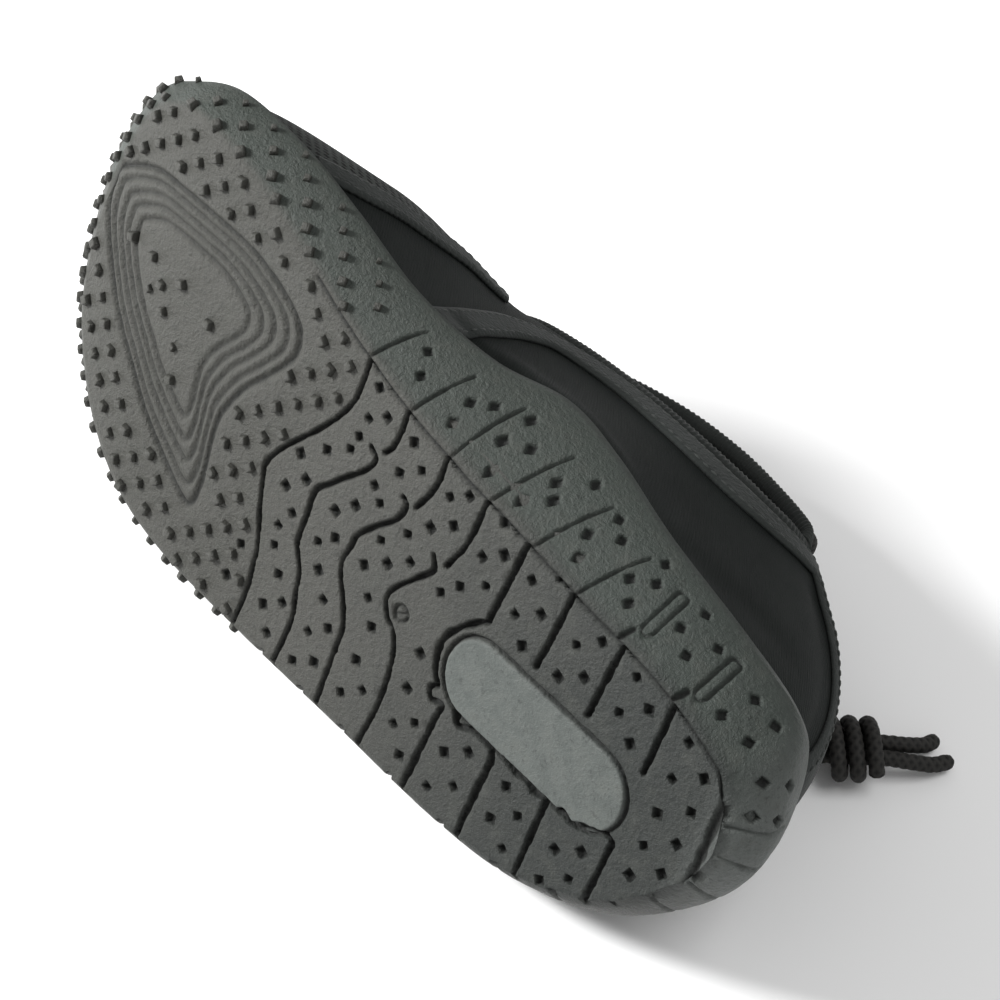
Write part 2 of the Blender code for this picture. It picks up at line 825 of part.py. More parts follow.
def binding(surface):
    """The elastic binding around the edge of the collar."""
    steps = 2 * COLLAR_RIBS
    start = THROAT_SHARE
    places = [start + (2 - 2 * start) * i / steps for i in range(steps)]
    sections = []
    for i, u in enumerate(places):
        before = upper_point(places[i - 1], 1.0)
        after = upper_point(places[(i + 1) % steps], 1.0)
        way = (after - before).normalized()
        edge = upper_point(u, 1.0)
        out = slopes(u, 1.0)[2]
        out = (out - way * out.dot(way)).normalized()
        up = out.cross(way).normalized()
        centre = edge + up * (BINDING_GAP + BINDING_WIDTH / 2) - out * UPPER_WALL / 2
        section = []
        for k in range(BINDING_SIDES):
            turn = 2 * math.pi * (k + 0.5) / BINDING_SIDES
            section.append(centre + up * math.cos(turn) * BINDING_WIDTH / 2
                           + out * math.sin(turn) * BINDING_THICKNESS / 2)
        sections.append(section)
    points, faces = sweep(sections, True)
    return add_mesh("collar_binding", points, faces, surface)


def turned(name, profile, surface, place, axis, sides=16):
    """A round piece turned from (radius, height) rows about its axis."""
    points = []
    faces = []
    rows = []
    for radius, height in profile:
        rows.append(list(range(len(points), len(points) + sides)))
        for k in range(sides):
            turn = 2 * math.pi * k / sides
            points.append(Vector((radius * math.cos(turn), radius * math.sin(turn), height)))
    for lower, higher in zip(rows, rows[1:]):
        faces.extend(bridge(lower, higher))
    faces.append(tuple(rows[0]))
    faces.append(tuple(rows[-1]))
    made = add_mesh(name, points, faces, surface)
    made.matrix_world = Matrix.Translation(place) @ axis.to_track_quat("Z", "Y").to_matrix().to_4x4()
    return made


def cord_lock(surface, dark):
    """Ball-shaped barrel with a blind bore, and the button that runs in it."""
    place = Vector(LOCK_PLACE) * MM
    axis = Vector(LOCK_AXIS)
    half = BARREL_LENGTH / 2
    ball = []
    for k in range(7):
        height = -half + BARREL_LENGTH * k / 6
        ball.append((math.sqrt(max(BARREL_RADIUS ** 2 - (BARREL_ROUNDNESS * height) ** 2, 0)), height))
    bore = BUTTON_RADIUS + BUTTON_CLEARANCE
    inside = BUTTON_LENGTH - BUTTON_STICKS_OUT
    depth = inside + BUTTON_TRAVEL + BUTTON_CLEARANCE
    ball.append((bore, half))
    ball.append((bore, half - depth))
    turned("cord_lock_barrel", ball, surface, place, axis)
    top = half + BUTTON_STICKS_OUT
    edge = BUTTON_RADIUS * BUTTON_EDGE_SHARE
    profile = (
        (BUTTON_RADIUS, half - inside),
        (BUTTON_RADIUS, top - edge),
        (BUTTON_RADIUS - edge, top),
    )
    turned("cord_lock_button", profile, dark, place, axis)


def cord(name, route, surface):
    """A cord of round section along a route in millimetres of the pose."""
    line = bpy.data.curves.new(name, "CURVE")
    line.dimensions = "3D"
    line.bevel_depth = CORD_RADIUS
    line.bevel_resolution = 2
    line.use_fill_caps = True
    path = line.splines.new("POLY")
    path.points.add(len(route) - 1)
    for spot, place in zip(path.points, route):
        spot.co = (place[0] * MM, place[1] * MM, place[2] * MM, 1)
    line.materials.append(surface)
    made = bpy.data.objects.new(name, line)
    bpy.context.scene.collection.objects.link(made)
    return made


def smooth_rows(rows, steps):
    """Rows read from a hand-set table along a smooth curve."""
    last = len(rows) - 1
    return [blend(rows, last * i / steps, False) for i in range(steps + 1)]


def beside(route):
    """The strand that runs beside a route, to its left as seen from above."""
    out = []
    for i, (x, y, z, apart) in enumerate(route):
        before = route[max(i - 1, 0)]
        after = route[min(i + 1, len(route) - 1)]
        size = math.hypot(after[0] - before[0], after[1] - before[1])
        out.append((x - (after[1] - before[1]) / size * apart,
                    y + (after[0] - before[0]) / size * apart, z))
    return out


def knot_route():
    """Turns of the cord around the two strands, side by side."""
    way = Vector(KNOT_WAY).normalized()
    side = Vector((-way.y, way.x, 0))
    route = []
    for i in range(KNOT_STEPS + 1):
        share = i / KNOT_STEPS
        turn = 2 * math.pi * KNOT_TURNS * share
        route.append(Vector(KNOT_CENTRE) + way * KNOT_PITCH * KNOT_TURNS * (share - 0.5)
                     + side * math.cos(turn) * KNOT_HALF_WIDTH
                     + Vector((0, 0, math.sin(turn) * KNOT_HALF_HEIGHT)))
    return route


def cords(surface):
    """Two strands from the collar to the lock, and on through a knot."""
    tail = smooth_rows(TAIL, TAIL_STEPS)
    cord("cord_drop_front", smooth_rows(DROP_FRONT, DROP_STEPS), surface)
    cord("cord_drop_back", smooth_rows(DROP_BACK, DROP_STEPS), surface)
    cord("cord_tail_outer", tail, surface)
    cord("cord_tail_inner", beside(tail), surface)
    cord("cord_knot", knot_route(), surface)


def lay_down(pieces):
    """Tip all pieces as one, so that the shoe rests on its outer side."""
    turn = Matrix.Rotation(-REST_LEAN, 4, "X")
    laid = [turn @ item.matrix_world @ spot.co for item in pieces for spot in item.data.vertices]
    middle = [(min(p[i] for p in laid) + max(p[i] for p in laid)) / 2 for i in (0, 1)]
    floor = min(p.z for p in laid)
    carrier = bpy.data.objects.new("shoe", None)
    bpy.context.scene.collection.objects.link(carrier)
    carrier.matrix_world = Matrix.Translation((-middle[0], -middle[1], -floor)) @ turn
    for item in bpy.data.objects:
        if item.type == "MESH":
            item.parent = carrier


def main():
    """Build every piece."""
    clear_scene()
    rubber = material("grey_rubber", (0.075, 0.082, 0.075), 0.62)
    neoprene = material("black_neoprene", (0.012, 0.014, 0.013), 0.8)
    webbing = material("dark_webbing", (0.035, 0.04, 0.036), 0.85)
    elastic = material("ribbed_elastic", (0.03, 0.033, 0.031), 0.8)
    foam = material("grey_foam", (0.05, 0.05, 0.05), 0.9)
    barrel_plastic = material("grey_plastic", (0.12, 0.125, 0.12), 0.45)
    button_plastic = material("black_plastic", (0.02, 0.02, 0.02), 0.4)
    braid = material("braided_cord", (0.018, 0.018, 0.016), 0.85)
    inner = smooth_rows(TRIM_ROUTE, TRIM_STEPS)
    pieces = [
        outsole(rubber),
        insole(foam),
        upper(neoprene),
        strip("vamp_trim_inner", inner, TRIM_WIDTH, webbing),
        strip("vamp_trim_outer", [(2 - u, v) for u, v in inner], TRIM_WIDTH, webbing),
        strip("collar_band", smooth_rows(BAND_ROUTE, BAND_STEPS), COLLAR_BAND_WIDTH, webbing),
        strip("heel_tape", smooth_rows(TAPE_ROUTE, TAPE_STEPS), HEEL_TAPE_WIDTH, webbing, 4),
        binding(elastic),
    ]
    lay_down(pieces)
    cord_lock(barrel_plastic, button_plastic)
    cords(braid)


main()
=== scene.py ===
import math

import bmesh
import bpy
import numpy as np
from mathutils import Matrix, Vector


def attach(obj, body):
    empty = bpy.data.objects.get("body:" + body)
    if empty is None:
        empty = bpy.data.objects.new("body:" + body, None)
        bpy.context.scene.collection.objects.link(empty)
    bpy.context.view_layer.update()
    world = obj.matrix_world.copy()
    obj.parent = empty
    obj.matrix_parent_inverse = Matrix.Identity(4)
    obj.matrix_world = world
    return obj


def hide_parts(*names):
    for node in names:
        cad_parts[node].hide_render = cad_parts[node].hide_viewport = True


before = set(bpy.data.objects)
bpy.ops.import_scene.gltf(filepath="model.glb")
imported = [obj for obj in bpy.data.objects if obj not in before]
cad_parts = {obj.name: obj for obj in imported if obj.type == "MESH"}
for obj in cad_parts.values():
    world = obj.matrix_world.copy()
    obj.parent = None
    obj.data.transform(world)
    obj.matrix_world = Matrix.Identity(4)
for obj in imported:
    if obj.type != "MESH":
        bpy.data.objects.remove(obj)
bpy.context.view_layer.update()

MM = 0.001

# The stage: a plain pale floor, soft studio light, and the camera where the
# photograph was taken from, turned and zoomed until the shoe fills the frame.
EYE = Vector((0.3341, -0.3268, 0.6282))
RIGHT = Vector((0.68124, 0.72904, 0.06643))
DOWN = Vector((0.59172, -0.49495, -0.63632))
FORWARD = Vector((-0.43102, 0.47280, -0.76856))
AIM = (-0.0365, 0.0273)
LENS = 118.0


def photo_camera():
    """Camera at the photograph's place, aimed at the middle of the shoe."""
    data = bpy.data.cameras.new("camera")
    data.lens = LENS
    data.sensor_width = 36
    data.clip_start = 0.01
    item = bpy.data.objects.new("camera", data)
    bpy.context.scene.collection.objects.link(item)
    wanted = FORWARD + RIGHT * AIM[0] + DOWN * AIM[1]
    swing = FORWARD.rotation_difference(wanted)
    axes = [swing @ RIGHT, swing @ -DOWN, swing @ -FORWARD]
    turn = Matrix([[axis[row] for axis in axes] for row in range(3)])
    item.matrix_world = Matrix.Translation(EYE) @ turn.normalized().to_4x4()
    bpy.context.scene.camera = item


def studio():
    """Pale floor, a bright room and two large soft lamps."""
    bpy.ops.mesh.primitive_plane_add(size=6, location=(0, 0, -0.0002))
    floor = bpy.context.object
    floor.name = "floor"
    paper = bpy.data.materials.new("pale_paper")
    paper.use_nodes = True
    shader = paper.node_tree.nodes["Principled BSDF"]
    shader.inputs["Base Color"].default_value = (0.93, 0.93, 0.93, 1)
    shader.inputs["Roughness"].default_value = 0.9
    floor.data.materials.append(paper)
    world = bpy.data.worlds.new("room")
    world.use_nodes = True
    glow = world.node_tree.nodes["Background"]
    glow.inputs["Color"].default_value = (1, 1, 1, 1)
    glow.inputs["Strength"].default_value = 0.42
    bpy.context.scene.world = world
    centre = Vector((0, 0, 0.03))
    for name, side, rise, back, power, size in (
        ("key_lamp", -1.0, 0.6, 0.45, 30.0, 0.3),
        ("fill_lamp", 0.7, 0.6, 0.9, 6.0, 0.7),
    ):
        data = bpy.data.lights.new(name, "AREA")
        data.energy = power
        data.size = size
        lamp = bpy.data.objects.new(name, data)
        lamp.location = centre + RIGHT * side - DOWN * rise - FORWARD * back
        lamp.rotation_mode = "QUATERNION"
        lamp.rotation_quaternion = (centre - lamp.location).to_track_quat("-Z", "Y")
        bpy.context.scene.collection.objects.link(lamp)
    bpy.context.scene.view_settings.view_transform = "Standard"


photo_camera()
studio()

# The cup sole: one rubber moulding that the sock is glued into, a tread with a
# wall that flares out on the arch side. Its outline is read round the foot,
# from the toe (u 0) by the inner side to the heel (u 1) and back (u 2).
SOLE_LENGTH = 232.0
BALL_WIDTH = 105.0
WALL_HEIGHT = 26.0
FLARE = 16.0
TOE_SPRING = 7.0
SPRING_REACH = 47.0
CUP_WALL = 2.6
CUP_FLOOR = 4.5
FOOT = np.array((
    # along, across, wall, flare, belly, lean
    (0.000, 0.133, 0.54, 0.38, 0.50, 0.10),
    (0.025, -0.143, 0.54, 0.31, 0.50, 0.10),
    (0.090, -0.330, 0.54, 0.25, 0.45, 0.10),
    (0.177, -0.455, 0.54, 0.19, 0.40, 0.10),
    (0.267, -0.505, 0.54, 0.16, 0.35, 0.10),
    (0.397, -0.513, 0.54, 0.16, 0.35, 0.10),
    (0.547, -0.513, 0.58, 0.19, 0.35, 0.10),
    (0.698, -0.509, 0.65, 0.19, 0.35, 0.10),
    (0.806, -0.477, 0.73, 0.25, 0.35, 0.14),
    (0.905, -0.371, 0.81, 0.30, 0.35, 0.20),
    (0.976, -0.190, 0.88, 0.38, 0.35, 0.30),
    (1.000, -0.030, 0.92, 0.45, 0.35, 0.38),
    (0.976, 0.138, 0.87, 0.58, 0.60, 0.18),
    (0.937, 0.218, 0.81, 0.68, 0.90, 0.05),
    (0.849, 0.276, 0.77, 0.72, 1.00, 0.00),
    (0.742, 0.321, 0.81, 0.88, 1.00, 0.00),
    (0.647, 0.357, 0.96, 0.97, 1.00, 0.00),
    (0.569, 0.376, 1.00, 1.00, 1.00, 0.00),
    (0.491, 0.371, 0.73, 0.81, 1.00, 0.00),
    (0.397, 0.400, 0.56, 0.66, 1.00, 0.00),
    (0.302, 0.460, 0.50, 0.59, 1.00, 0.00),
    (0.216, 0.503, 0.46, 0.50, 1.00, 0.00),
    (0.125, 0.508, 0.46, 0.38, 1.00, 0.00),
    (0.069, 0.463, 0.48, 0.31, 0.80, 0.03),
    (0.023, 0.367, 0.50, 0.34, 0.60, 0.07),
))
TOE_ROWS = 4
HEEL_ROW = 11
THROAT = 16 / 38
FLARE_CURVE = 1.6
LEAN_CURVE = 1.5
REST_LEAN = math.radians(27)
UPWARD = np.array((0, -math.sin(REST_LEAN), math.cos(REST_LEAN)))
CARRY = np.array((-115.66, -35.42, 53.96))


def laid(points):
    """Points of the shoe's own frame, in mm, laid on the floor, in metres."""
    c, s = math.cos(REST_LEAN), math.sin(REST_LEAN)
    x, y, z = points[..., 0], points[..., 1], points[..., 2]
    return (np.stack([x, c * y + s * z, c * z - s * y], -1) + CARRY) * MM


def laid_way(ways):
    """Directions of the shoe's own frame, as they point once it lies down."""
    return laid(ways) / MM - CARRY


def read_rows(rows, place, closed=False):
    """Read a table of rows at places between them, along a smooth curve."""
    place = np.asarray(place, float)
    span = np.floor(place).astype(int)
    if closed:
        a, b, c, d = (rows[(span + k) % len(rows)] for k in (-1, 0, 1, 2))
    else:
        span = np.clip(span, 0, len(rows) - 2)
        longer = np.vstack([2 * rows[0] - rows[1], rows, 2 * rows[-1] - rows[-2]])
        a, b, c, d = (longer[span + k] for k in range(4))
    t = (place - span)[..., None]
    return 0.5 * (2 * b + (c - a) * t + (2 * a - 5 * b + 4 * c - d) * t * t
                  + (3 * b - a - 3 * c + d) * t ** 3)


def ease(low, high, value):
    """0 below low, 1 above high, and a soft step between."""
    t = np.clip((value - low) / (high - low), 0, 1)
    return t * t * (3 - 2 * t)


def lift(x):
    """How far the toe spring raises the tread."""
    return TOE_SPRING * (np.clip(SPRING_REACH - x, 0, None) / SPRING_REACH) ** 2


def foot_place(u):
    """Row of FOOT for a place round the foot."""
    share = np.where(u <= 1, u, 2 - u)
    steps = TOE_ROWS * share / THROAT
    beyond = (share - THROAT) / (1 - THROAT)
    first = len(FOOT) - TOE_ROWS
    inner = np.where(share <= THROAT, len(FOOT) - steps, first - (first - HEEL_ROW) * beyond)
    outer = np.where(share <= THROAT, steps, TOE_ROWS + (HEEL_ROW - TOE_ROWS) * beyond)
    return np.where(u <= 1, inner, outer)


def wall_point(u, share, inward=0.0, least=0.0):
    """Point on the sole's wall in mm, share 0 at the tread and 1 at the rim."""
    u, share = np.broadcast_arrays(np.asarray(u, float) % 2, np.asarray(share, float))
    place = foot_place(u)
    along, across, wall, flare, belly, lean = np.moveaxis(read_rows(FOOT, place, True), -1, 0)
    ahead = read_rows(FOOT, place + 0.02, True)
    behind = read_rows(FOOT, place - 0.02, True)
    run = (ahead[..., 0] - behind[..., 0]) * SOLE_LENGTH
    side = (ahead[..., 1] - behind[..., 1]) * BALL_WIDTH
    size = np.hypot(run, side)
    belly = np.minimum(belly, 1.0)
    below = np.clip(1 - share / belly, 0, 1) ** FLARE_CURVE * flare
    above = (np.clip(share - belly, 0, 1) / np.maximum(1 - belly, 1e-6)) ** LEAN_CURVE * lean
    inset = np.where(share < belly, below, np.where(belly < 1, above, 0)) * FLARE + inward
    x = along * SOLE_LENGTH - side / size * inset
    z = across * BALL_WIDTH + run / size * inset
    low = lift(x)
    y = np.maximum(low + (wall * WALL_HEIGHT - low) * share, low + least)
    return np.stack([x, y, z], -1)


def run_along(points):
    """Length of a line so far, at each of its points."""
    return np.concatenate([[0], np.cumsum(np.linalg.norm(np.diff(points, axis=0), axis=1))])


def even_places(count, outer):
    """Places round one side, evenly spaced by length from the toe to the heel."""
    fine = np.linspace(0, 1, 4001)
    spots = wall_point(2 - fine if outer else fine, 0.3)
    run = run_along(spots)
    places = np.interp(np.linspace(0, run[-1], count + 1), run, fine)
    return (2 - places if outer else places), run[-1]


def cloud(shape, step, seed):
    """A soft random field from -1 to 1, with blotches about step cells wide."""
    rough = np.random.default_rng(seed).uniform(-1, 1, (shape[0] // step + 3, shape[1] // step + 3))
    i, j = np.arange(shape[0]) / step, np.arange(shape[1]) / step
    a, b = i.astype(int), j.astype(int)
    s, t = ease(0, 1, i - a)[:, None], ease(0, 1, j - b)[None, :]
    top = rough[a][:, b] * (1 - t) + rough[a][:, b + 1] * t
    low = rough[a + 1][:, b] * (1 - t) + rough[a + 1][:, b + 1] * t
    return top * (1 - s) + low * s


class Relief:
    """Heights over a flat patch in mm, drawn with strokes and small marks."""

    def __init__(self, low, high, cell, seed):
        self.low = np.array(low, float)
        self.cell = cell
        self.shape = tuple(int((h - l) / cell) + 2 for l, h in zip(low, high))
        self.height = np.zeros(self.shape)
        broad = cloud(self.shape, int(2.6 / cell), seed)
        fine = cloud(self.shape, int(0.9 / cell), seed + 1)
        self.wobble = broad * 0.22 + fine * 0.1

    def window(self, points, reach):
        """The patch's cells within reach of some points, and their places."""
        first = ((points.min(0) - reach - self.low) / self.cell).astype(int).clip(0)
        last = ((points.max(0) + reach - self.low) / self.cell).astype(int) + 2
        cut = (slice(first[0], max(last[0], 0)), slice(first[1], max(last[1], 0)))
        rows = self.low[0] + np.arange(self.shape[0])[cut[0]] * self.cell
        columns = self.low[1] + np.arange(self.shape[1])[cut[1]] * self.cell
        return cut, rows[:, None], columns[None, :]

    def distance(self, line, reach):
        """Distance of each cell from a line, where it is within reach."""
        out = np.full(self.shape, 99.0)
        for a, b in zip(line[:-1], line[1:]):
            cut, p, q = self.window(np.array((a, b)), reach)
            run = b - a
            t = np.clip(((p - a[0]) * run[0] + (q - a[1]) * run[1]) / max(run @ run, 1e-9), 0, 1)
            out[cut] = np.minimum(out[cut], np.hypot(p - a[0] - t * run[0], q - a[1] - t * run[1]))
        return out

    def groove(self, line, half, depth, soft=0.55, rough=1.0):
        """Cut a rounded channel along a line."""
        away = self.distance(line, half + soft + 0.5) + self.wobble * rough
        self.height = np.minimum(self.height, -depth * (1 - ease(half - soft / 2, half + soft, away)))

    def ridge(self, line, half, height, soft=0.5):
        """Raise a rounded rib along a line."""
        away = self.distance(line, half + soft + 0.5)
        self.height = self.height + height * (1 - ease(half - soft / 2, half + soft, away))

    def pit(self, a, b, half, depth, turn):
        """Press in a small square mark."""
        cut, p, q = self.window(np.array([(a, b)]), half * 2 + 0.6)
        c, s = math.cos(turn), math.sin(turn)
        far = np.maximum(abs((p - a) * c + (q - b) * s), abs((q - b) * c - (p - a) * s))
        shape = -depth * (1 - ease(half - 0.18, half + 0.2, far))
        self.height[cut] = np.minimum(self.height[cut], shape)

    def read(self, a, b, field=None):
        """The patch's value at places, between its cells."""
        field = self.height if field is None else field
        i = np.clip((a - self.low[0]) / self.cell, 0, self.shape[0] - 1.001)
        j = np.clip((b - self.low[1]) / self.cell, 0, self.shape[1] - 1.001)
        m, n = i.astype(int), j.astype(int)
        s, t = i - m, j - n
        return ((field[m, n] * (1 - t) + field[m, n + 1] * t) * (1 - s)
                + (field[m + 1, n] * (1 - t) + field[m + 1, n + 1] * t) * s)


# Lines moulded in the tread, as (across, along) in mm: wavy grooves under
# the waist, the plain plate and the block edges round it.
WAVES = (
    ((40, 95), (31, 96.6), (24.8, 97.4), (18.4, 97.2), (11.7, 94.7), (4.4, 90.3), (-4, 84.7),
     (-10.5, 81.9), (-14.8, 83), (-21.8, 85.6), (-29.6, 89), (-34.1, 89.8), (-40, 90.9), (-52, 91.2)),
    ((36, 111), (26.9, 111.4), (21.1, 112), (16.5, 111.6), (13.7, 110.2)),
    ((12.6, 106.4), (10.6, 109), (6, 106.9), (1.5, 103.3), (-2.6, 100.3), (-6.6, 97.4), (-12.3, 97.8),
     (-20.3, 98.4), (-22.9, 99.9), (-26.7, 102.4), (-33, 104.2), (-38.2, 105.7), (-52, 105.6)),
    ((34, 125), (24, 125.5), (19.5, 126.1), (14.1, 125.4), (8.5, 123.4)),
    ((8.4, 119.4), (7.2, 121.2), (2.5, 120), (-1.4, 117), (-7.3, 112.8), (-11, 112.3), (-15.4, 111.7),
     (-19, 112.9), (-23.5, 116.1), (-28.9, 119), (-33.8, 119.6), (-52, 121)),
    ((32, 139.6), (20.9, 139.4), (16.4, 139.5), (10.1, 139.2), (2.7, 136.9)),
    ((2.6, 132.8), (-0.4, 134.4), (-4.4, 132), (-11.5, 127.2), (-15, 126.6), (-18.5, 128.6),
     (-20.8, 132.1), (-27.5, 134.9), (-38, 136.2), (-52, 135.4)),
)
BLOCK_EDGES = (
    ((29, 153.2), (19.9, 153), (-0.8, 152.4)),
    ((-0.9, 152.4), (-2.9, 150.1), (-7.9, 146.2), (-11.7, 144.4), (-15.5, 144.2), (-20.3, 146),
     (-22.7, 147.9), (-24.2, 146.6), (-26.6, 147.9), (-25.9, 151.3), (-31.3, 151.1), (-52, 150.9)),
    ((27, 168.6), (18.9, 168.4), (-0.8, 167.9)),
    ((-24.6, 155), (-26.8, 157.1), (-25.2, 160.8), (-24.8, 163.5), (-25.4, 167.2), (-28.2, 168.5),
     (-36, 168.4), (-52, 168.8)),
    ((25, 184.8), (18.7, 184.5), (-0.8, 184.3)),
    ((-24.4, 171), (-25.2, 175.2), (-24.8, 178.5), (-25.8, 181.2), (-25, 184.6), (-30.3, 185.3),
     (-52, 186.2)),
    ((23, 201), (18.6, 201.3), (-2, 202.2)),
    ((-24.6, 188.3), (-23.6, 190), (-24.6, 192.8), (-22.6, 196.3), (-20.4, 202.6), (-25.6, 203.7),
     (-50, 204.2)),
)
HEEL_WEDGE = ((18, 218.6), (10, 221), (4, 221.8), (-4, 222.6), (-12, 223), (-24, 222.6), (-38, 220.5))
PLATE = (-14.3, 174.8, 56.0, 20.6)
PAD_CENTRE = (41.0, 8.0)
PAD = np.array((
    # along, across
    (6.4, 15.6), (7.8, 20.3), (18.5, 27.2), (29, 29.3), (44, 30.3), (56.7, 30), (69.3, 26.8), (75.9, 23),
    (77.7, 16.9), (74, 9.3), (68.1, 0), (64.7, -10.3), (65.7, -19.8), (67.2, -29), (65.8, -35), (57.1, -31.5),
    (45.3, -24.8), (34.9, -17), (24.5, -9.3), (16.2, -1.4), (8.3, 8.1),
))
PAD_SCALES = (1.0, 0.9, 0.79, 0.69, 0.58)
PITS = (
    (25.8, 102.1), (17.7, 102.7), (21.3, 107.2), (-1.9, 89.8), (3.7, 96), (8.2, 101.6), (12.4, 102.4),
    (-11.4, 89.5), (-6.3, 94), (-15.8, 94.2), (-26, 93.2), (-31.3, 97.5), (-40.6, 96.9), (-36.4, 101.6),
    (-21, 92), (-46, 101), (21.1, 116.2), (12.5, 116), (16.9, 121), (5.5, 111.4), (-7, 104.6),
    (-2.1, 109), (2.8, 114.6), (-16.7, 103.7), (-12.6, 107.6), (-22.4, 107), (-27.6, 111.4),
    (-37.2, 111.2), (-32.6, 115.9), (-42.5, 116.1), (-46.5, 110.6), (16.9, 130.4), (20.5, 134.8),
    (7.4, 129.2), (11.9, 134.4), (-4.4, 118.9), (1.8, 124.6), (-12.5, 117.6), (-7.8, 123),
    (-3.2, 128.2), (-18.4, 122.1), (-23.7, 126.2), (-33.5, 126.2), (-43.3, 126), (-38.5, 131),
    (11, 144.2), (15.3, 149), (1.1, 142.4), (5.9, 148.2), (-3.6, 138.6), (-19.6, 140.6), (-29.2, 141.4),
    (-39.1, 142.1), (-34.8, 147), (-44.5, 147), (21.6, 145.6), (15.3, 157.8), (5.7, 157.7),
    (10.4, 163.5), (0.8, 162.8), (20.6, 163.8), (10.7, 174.4), (15.9, 179.6), (1.4, 173.9),
    (5.9, 179.6), (15.2, 190.6), (5.4, 190.7), (11.1, 196.6), (1.4, 196.4), (11.9, 208.2), (2.2, 208.7),
    (7.8, 215.2), (-7, 209.6), (-0.8, 216.2), (-15.6, 210.3), (-9.4, 216.8), (-23.9, 210.7),
    (-17.8, 217), (-33.1, 210.7), (-26.6, 217), (-34.9, 157.1), (-30.2, 162.6), (-45.3, 156.9),
    (-40, 163), (-29.8, 174.8), (-39.2, 174.8), (-33.5, 180.6), (-43, 180.8), (-32.9, 192.2),
    (-28.4, 198.2), (-42, 192.4), (-36.2, 198.4),
)
FOREFOOT_PITS = ((-32.5, 84.6), (-42, 84.2))
PAD_STUDS = (
    (9.5, 20.7), (10, 29.3), (6, 35), (10.2, 40.8), (0.8, 38.3), (7.1, 52.2), (-11.8, 47.9),
    (2.7, 31.8), (-4.6, 45),
)
MARK = (-15.3, 131.6)
STUD_START = (32.0, 38.0)
STUD_STEP = (4.675, 4.35)
WALL_PITS = (
    # place round the foot, share of the wall
    (0.570, 0.50), (0.579, 0.28), (0.611, 0.42), (0.624, 0.52), (0.613, 0.20), (0.651, 0.60), (0.650, 0.34),
    (0.670, 0.44), (0.664, 0.14), (0.703, 0.42), (0.719, 0.65), (0.699, 0.16), (0.712, 0.32), (0.745, 0.64),
    (0.742, 0.36), (0.756, 0.55), (0.750, 0.20), (0.776, 0.40), (0.786, 0.26), (0.786, 0.55), (0.780, 0.74),
    (0.812, 0.74), (0.811, 0.46), (0.831, 0.62), (0.825, 0.34), (0.864, 0.27), (0.866, 0.60), (0.889, 0.62),
    (0.893, 0.33), (0.945, 0.30), (0.950, 0.55), (0.972, 0.42), (0.969, 0.20),
)
INNER_RIBS = (0.5535, 0.5925, 0.6310, 0.6860, 0.7300, 0.7670)
INNER_SLOTS = (0.7985, 0.8425)
OUTER_RIBS = (86.5, 101.0, 115.5, 130.0, 146.5, 164.0, 181.0, 198.0)
WALL_RISE = 24.0
TREAD_CELL = 0.12
WALL_CELL = 0.14
PIT_HALF = 1.05
PIT_DEPTH = 1.5
WALL_PIT_HALF = 1.0
WALL_PIT_DEPTH = 1.2
DETAIL_LIMIT = 0.18
DETAIL_STEP = 0.16
WELD = 0.0005


def smooth_line(points, steps=6):
    """A line of given points, read along a smooth curve."""
    rows = np.array(points, float)
    return read_rows(rows, np.linspace(0, len(rows) - 1, steps * (len(rows) - 1) + 1))


def pad_line(scale):
    """One ring of the pad under the ball of the foot, as (along, across)."""
    loop = read_rows(PAD, np.linspace(0, len(PAD), 6 * len(PAD) + 1), True)
    centre = np.array(PAD_CENTRE)
    return centre + (loop - centre) * scale


def stadium(centre, length, width, steps=14):
    """Closed outline with two straight sides and two round ends."""
    turns = np.linspace(-math.pi / 2, math.pi / 2, steps + 1)
    half = (length - width) / 2
    ends = [np.stack([sign * (half + width / 2 * np.cos(turns)), sign * width / 2 * np.sin(turns)], -1)
            for sign in (1, -1)]
    loop = np.vstack([*ends, ends[0][:1]])
    return loop + np.array(centre)


def tread_relief():
    """The tread's pattern over the (along, across) plane of the sole."""
    relief = Relief((-4, -60), (238, 60), TREAD_CELL, 3)
    for line in WAVES:
        relief.groove(smooth_line(line)[:, ::-1], 0.42, 1.8, 0.38, 0.8)
    for line in BLOCK_EDGES:
        relief.groove(smooth_line(line)[:, ::-1], 0.52, 2.0, 0.42)
    relief.groove(smooth_line(HEEL_WEDGE)[:, ::-1], 0.6, 1.3, 0.9)
    for scale in PAD_SCALES:
        relief.groove(pad_line(scale), 0.3, 0.85 if scale < 1 else 1.1, 1.2, 0.4)
    across, along, length, width = PLATE
    relief.groove(stadium((along, across), length, width), 0.35, 1.1, 0.5, 0.5)
    for k, (b, a) in enumerate(PITS + FOREFOOT_PITS):
        half = PIT_HALF + 0.14 * math.sin(11.1 * k)
        relief.pit(a, b, half, PIT_DEPTH, math.pi / 4 + 0.5 * math.sin(7.3 * k))
    turns = np.linspace(0, 2 * math.pi, 33)
    ring = np.stack([np.cos(turns), np.sin(turns)], -1)
    centre = np.array(MARK[::-1])
    relief.ridge(centre + ring * 4.6, 0.5, 0.3, 0.7)
    relief.groove(centre + ring * 1.9, 0.3, 0.9, 0.5, 0.2)
    relief.groove(centre + np.array(((-1.5, -1.0), (1.5, 1.0))), 0.25, 0.8, 0.4, 0.2)
    return relief


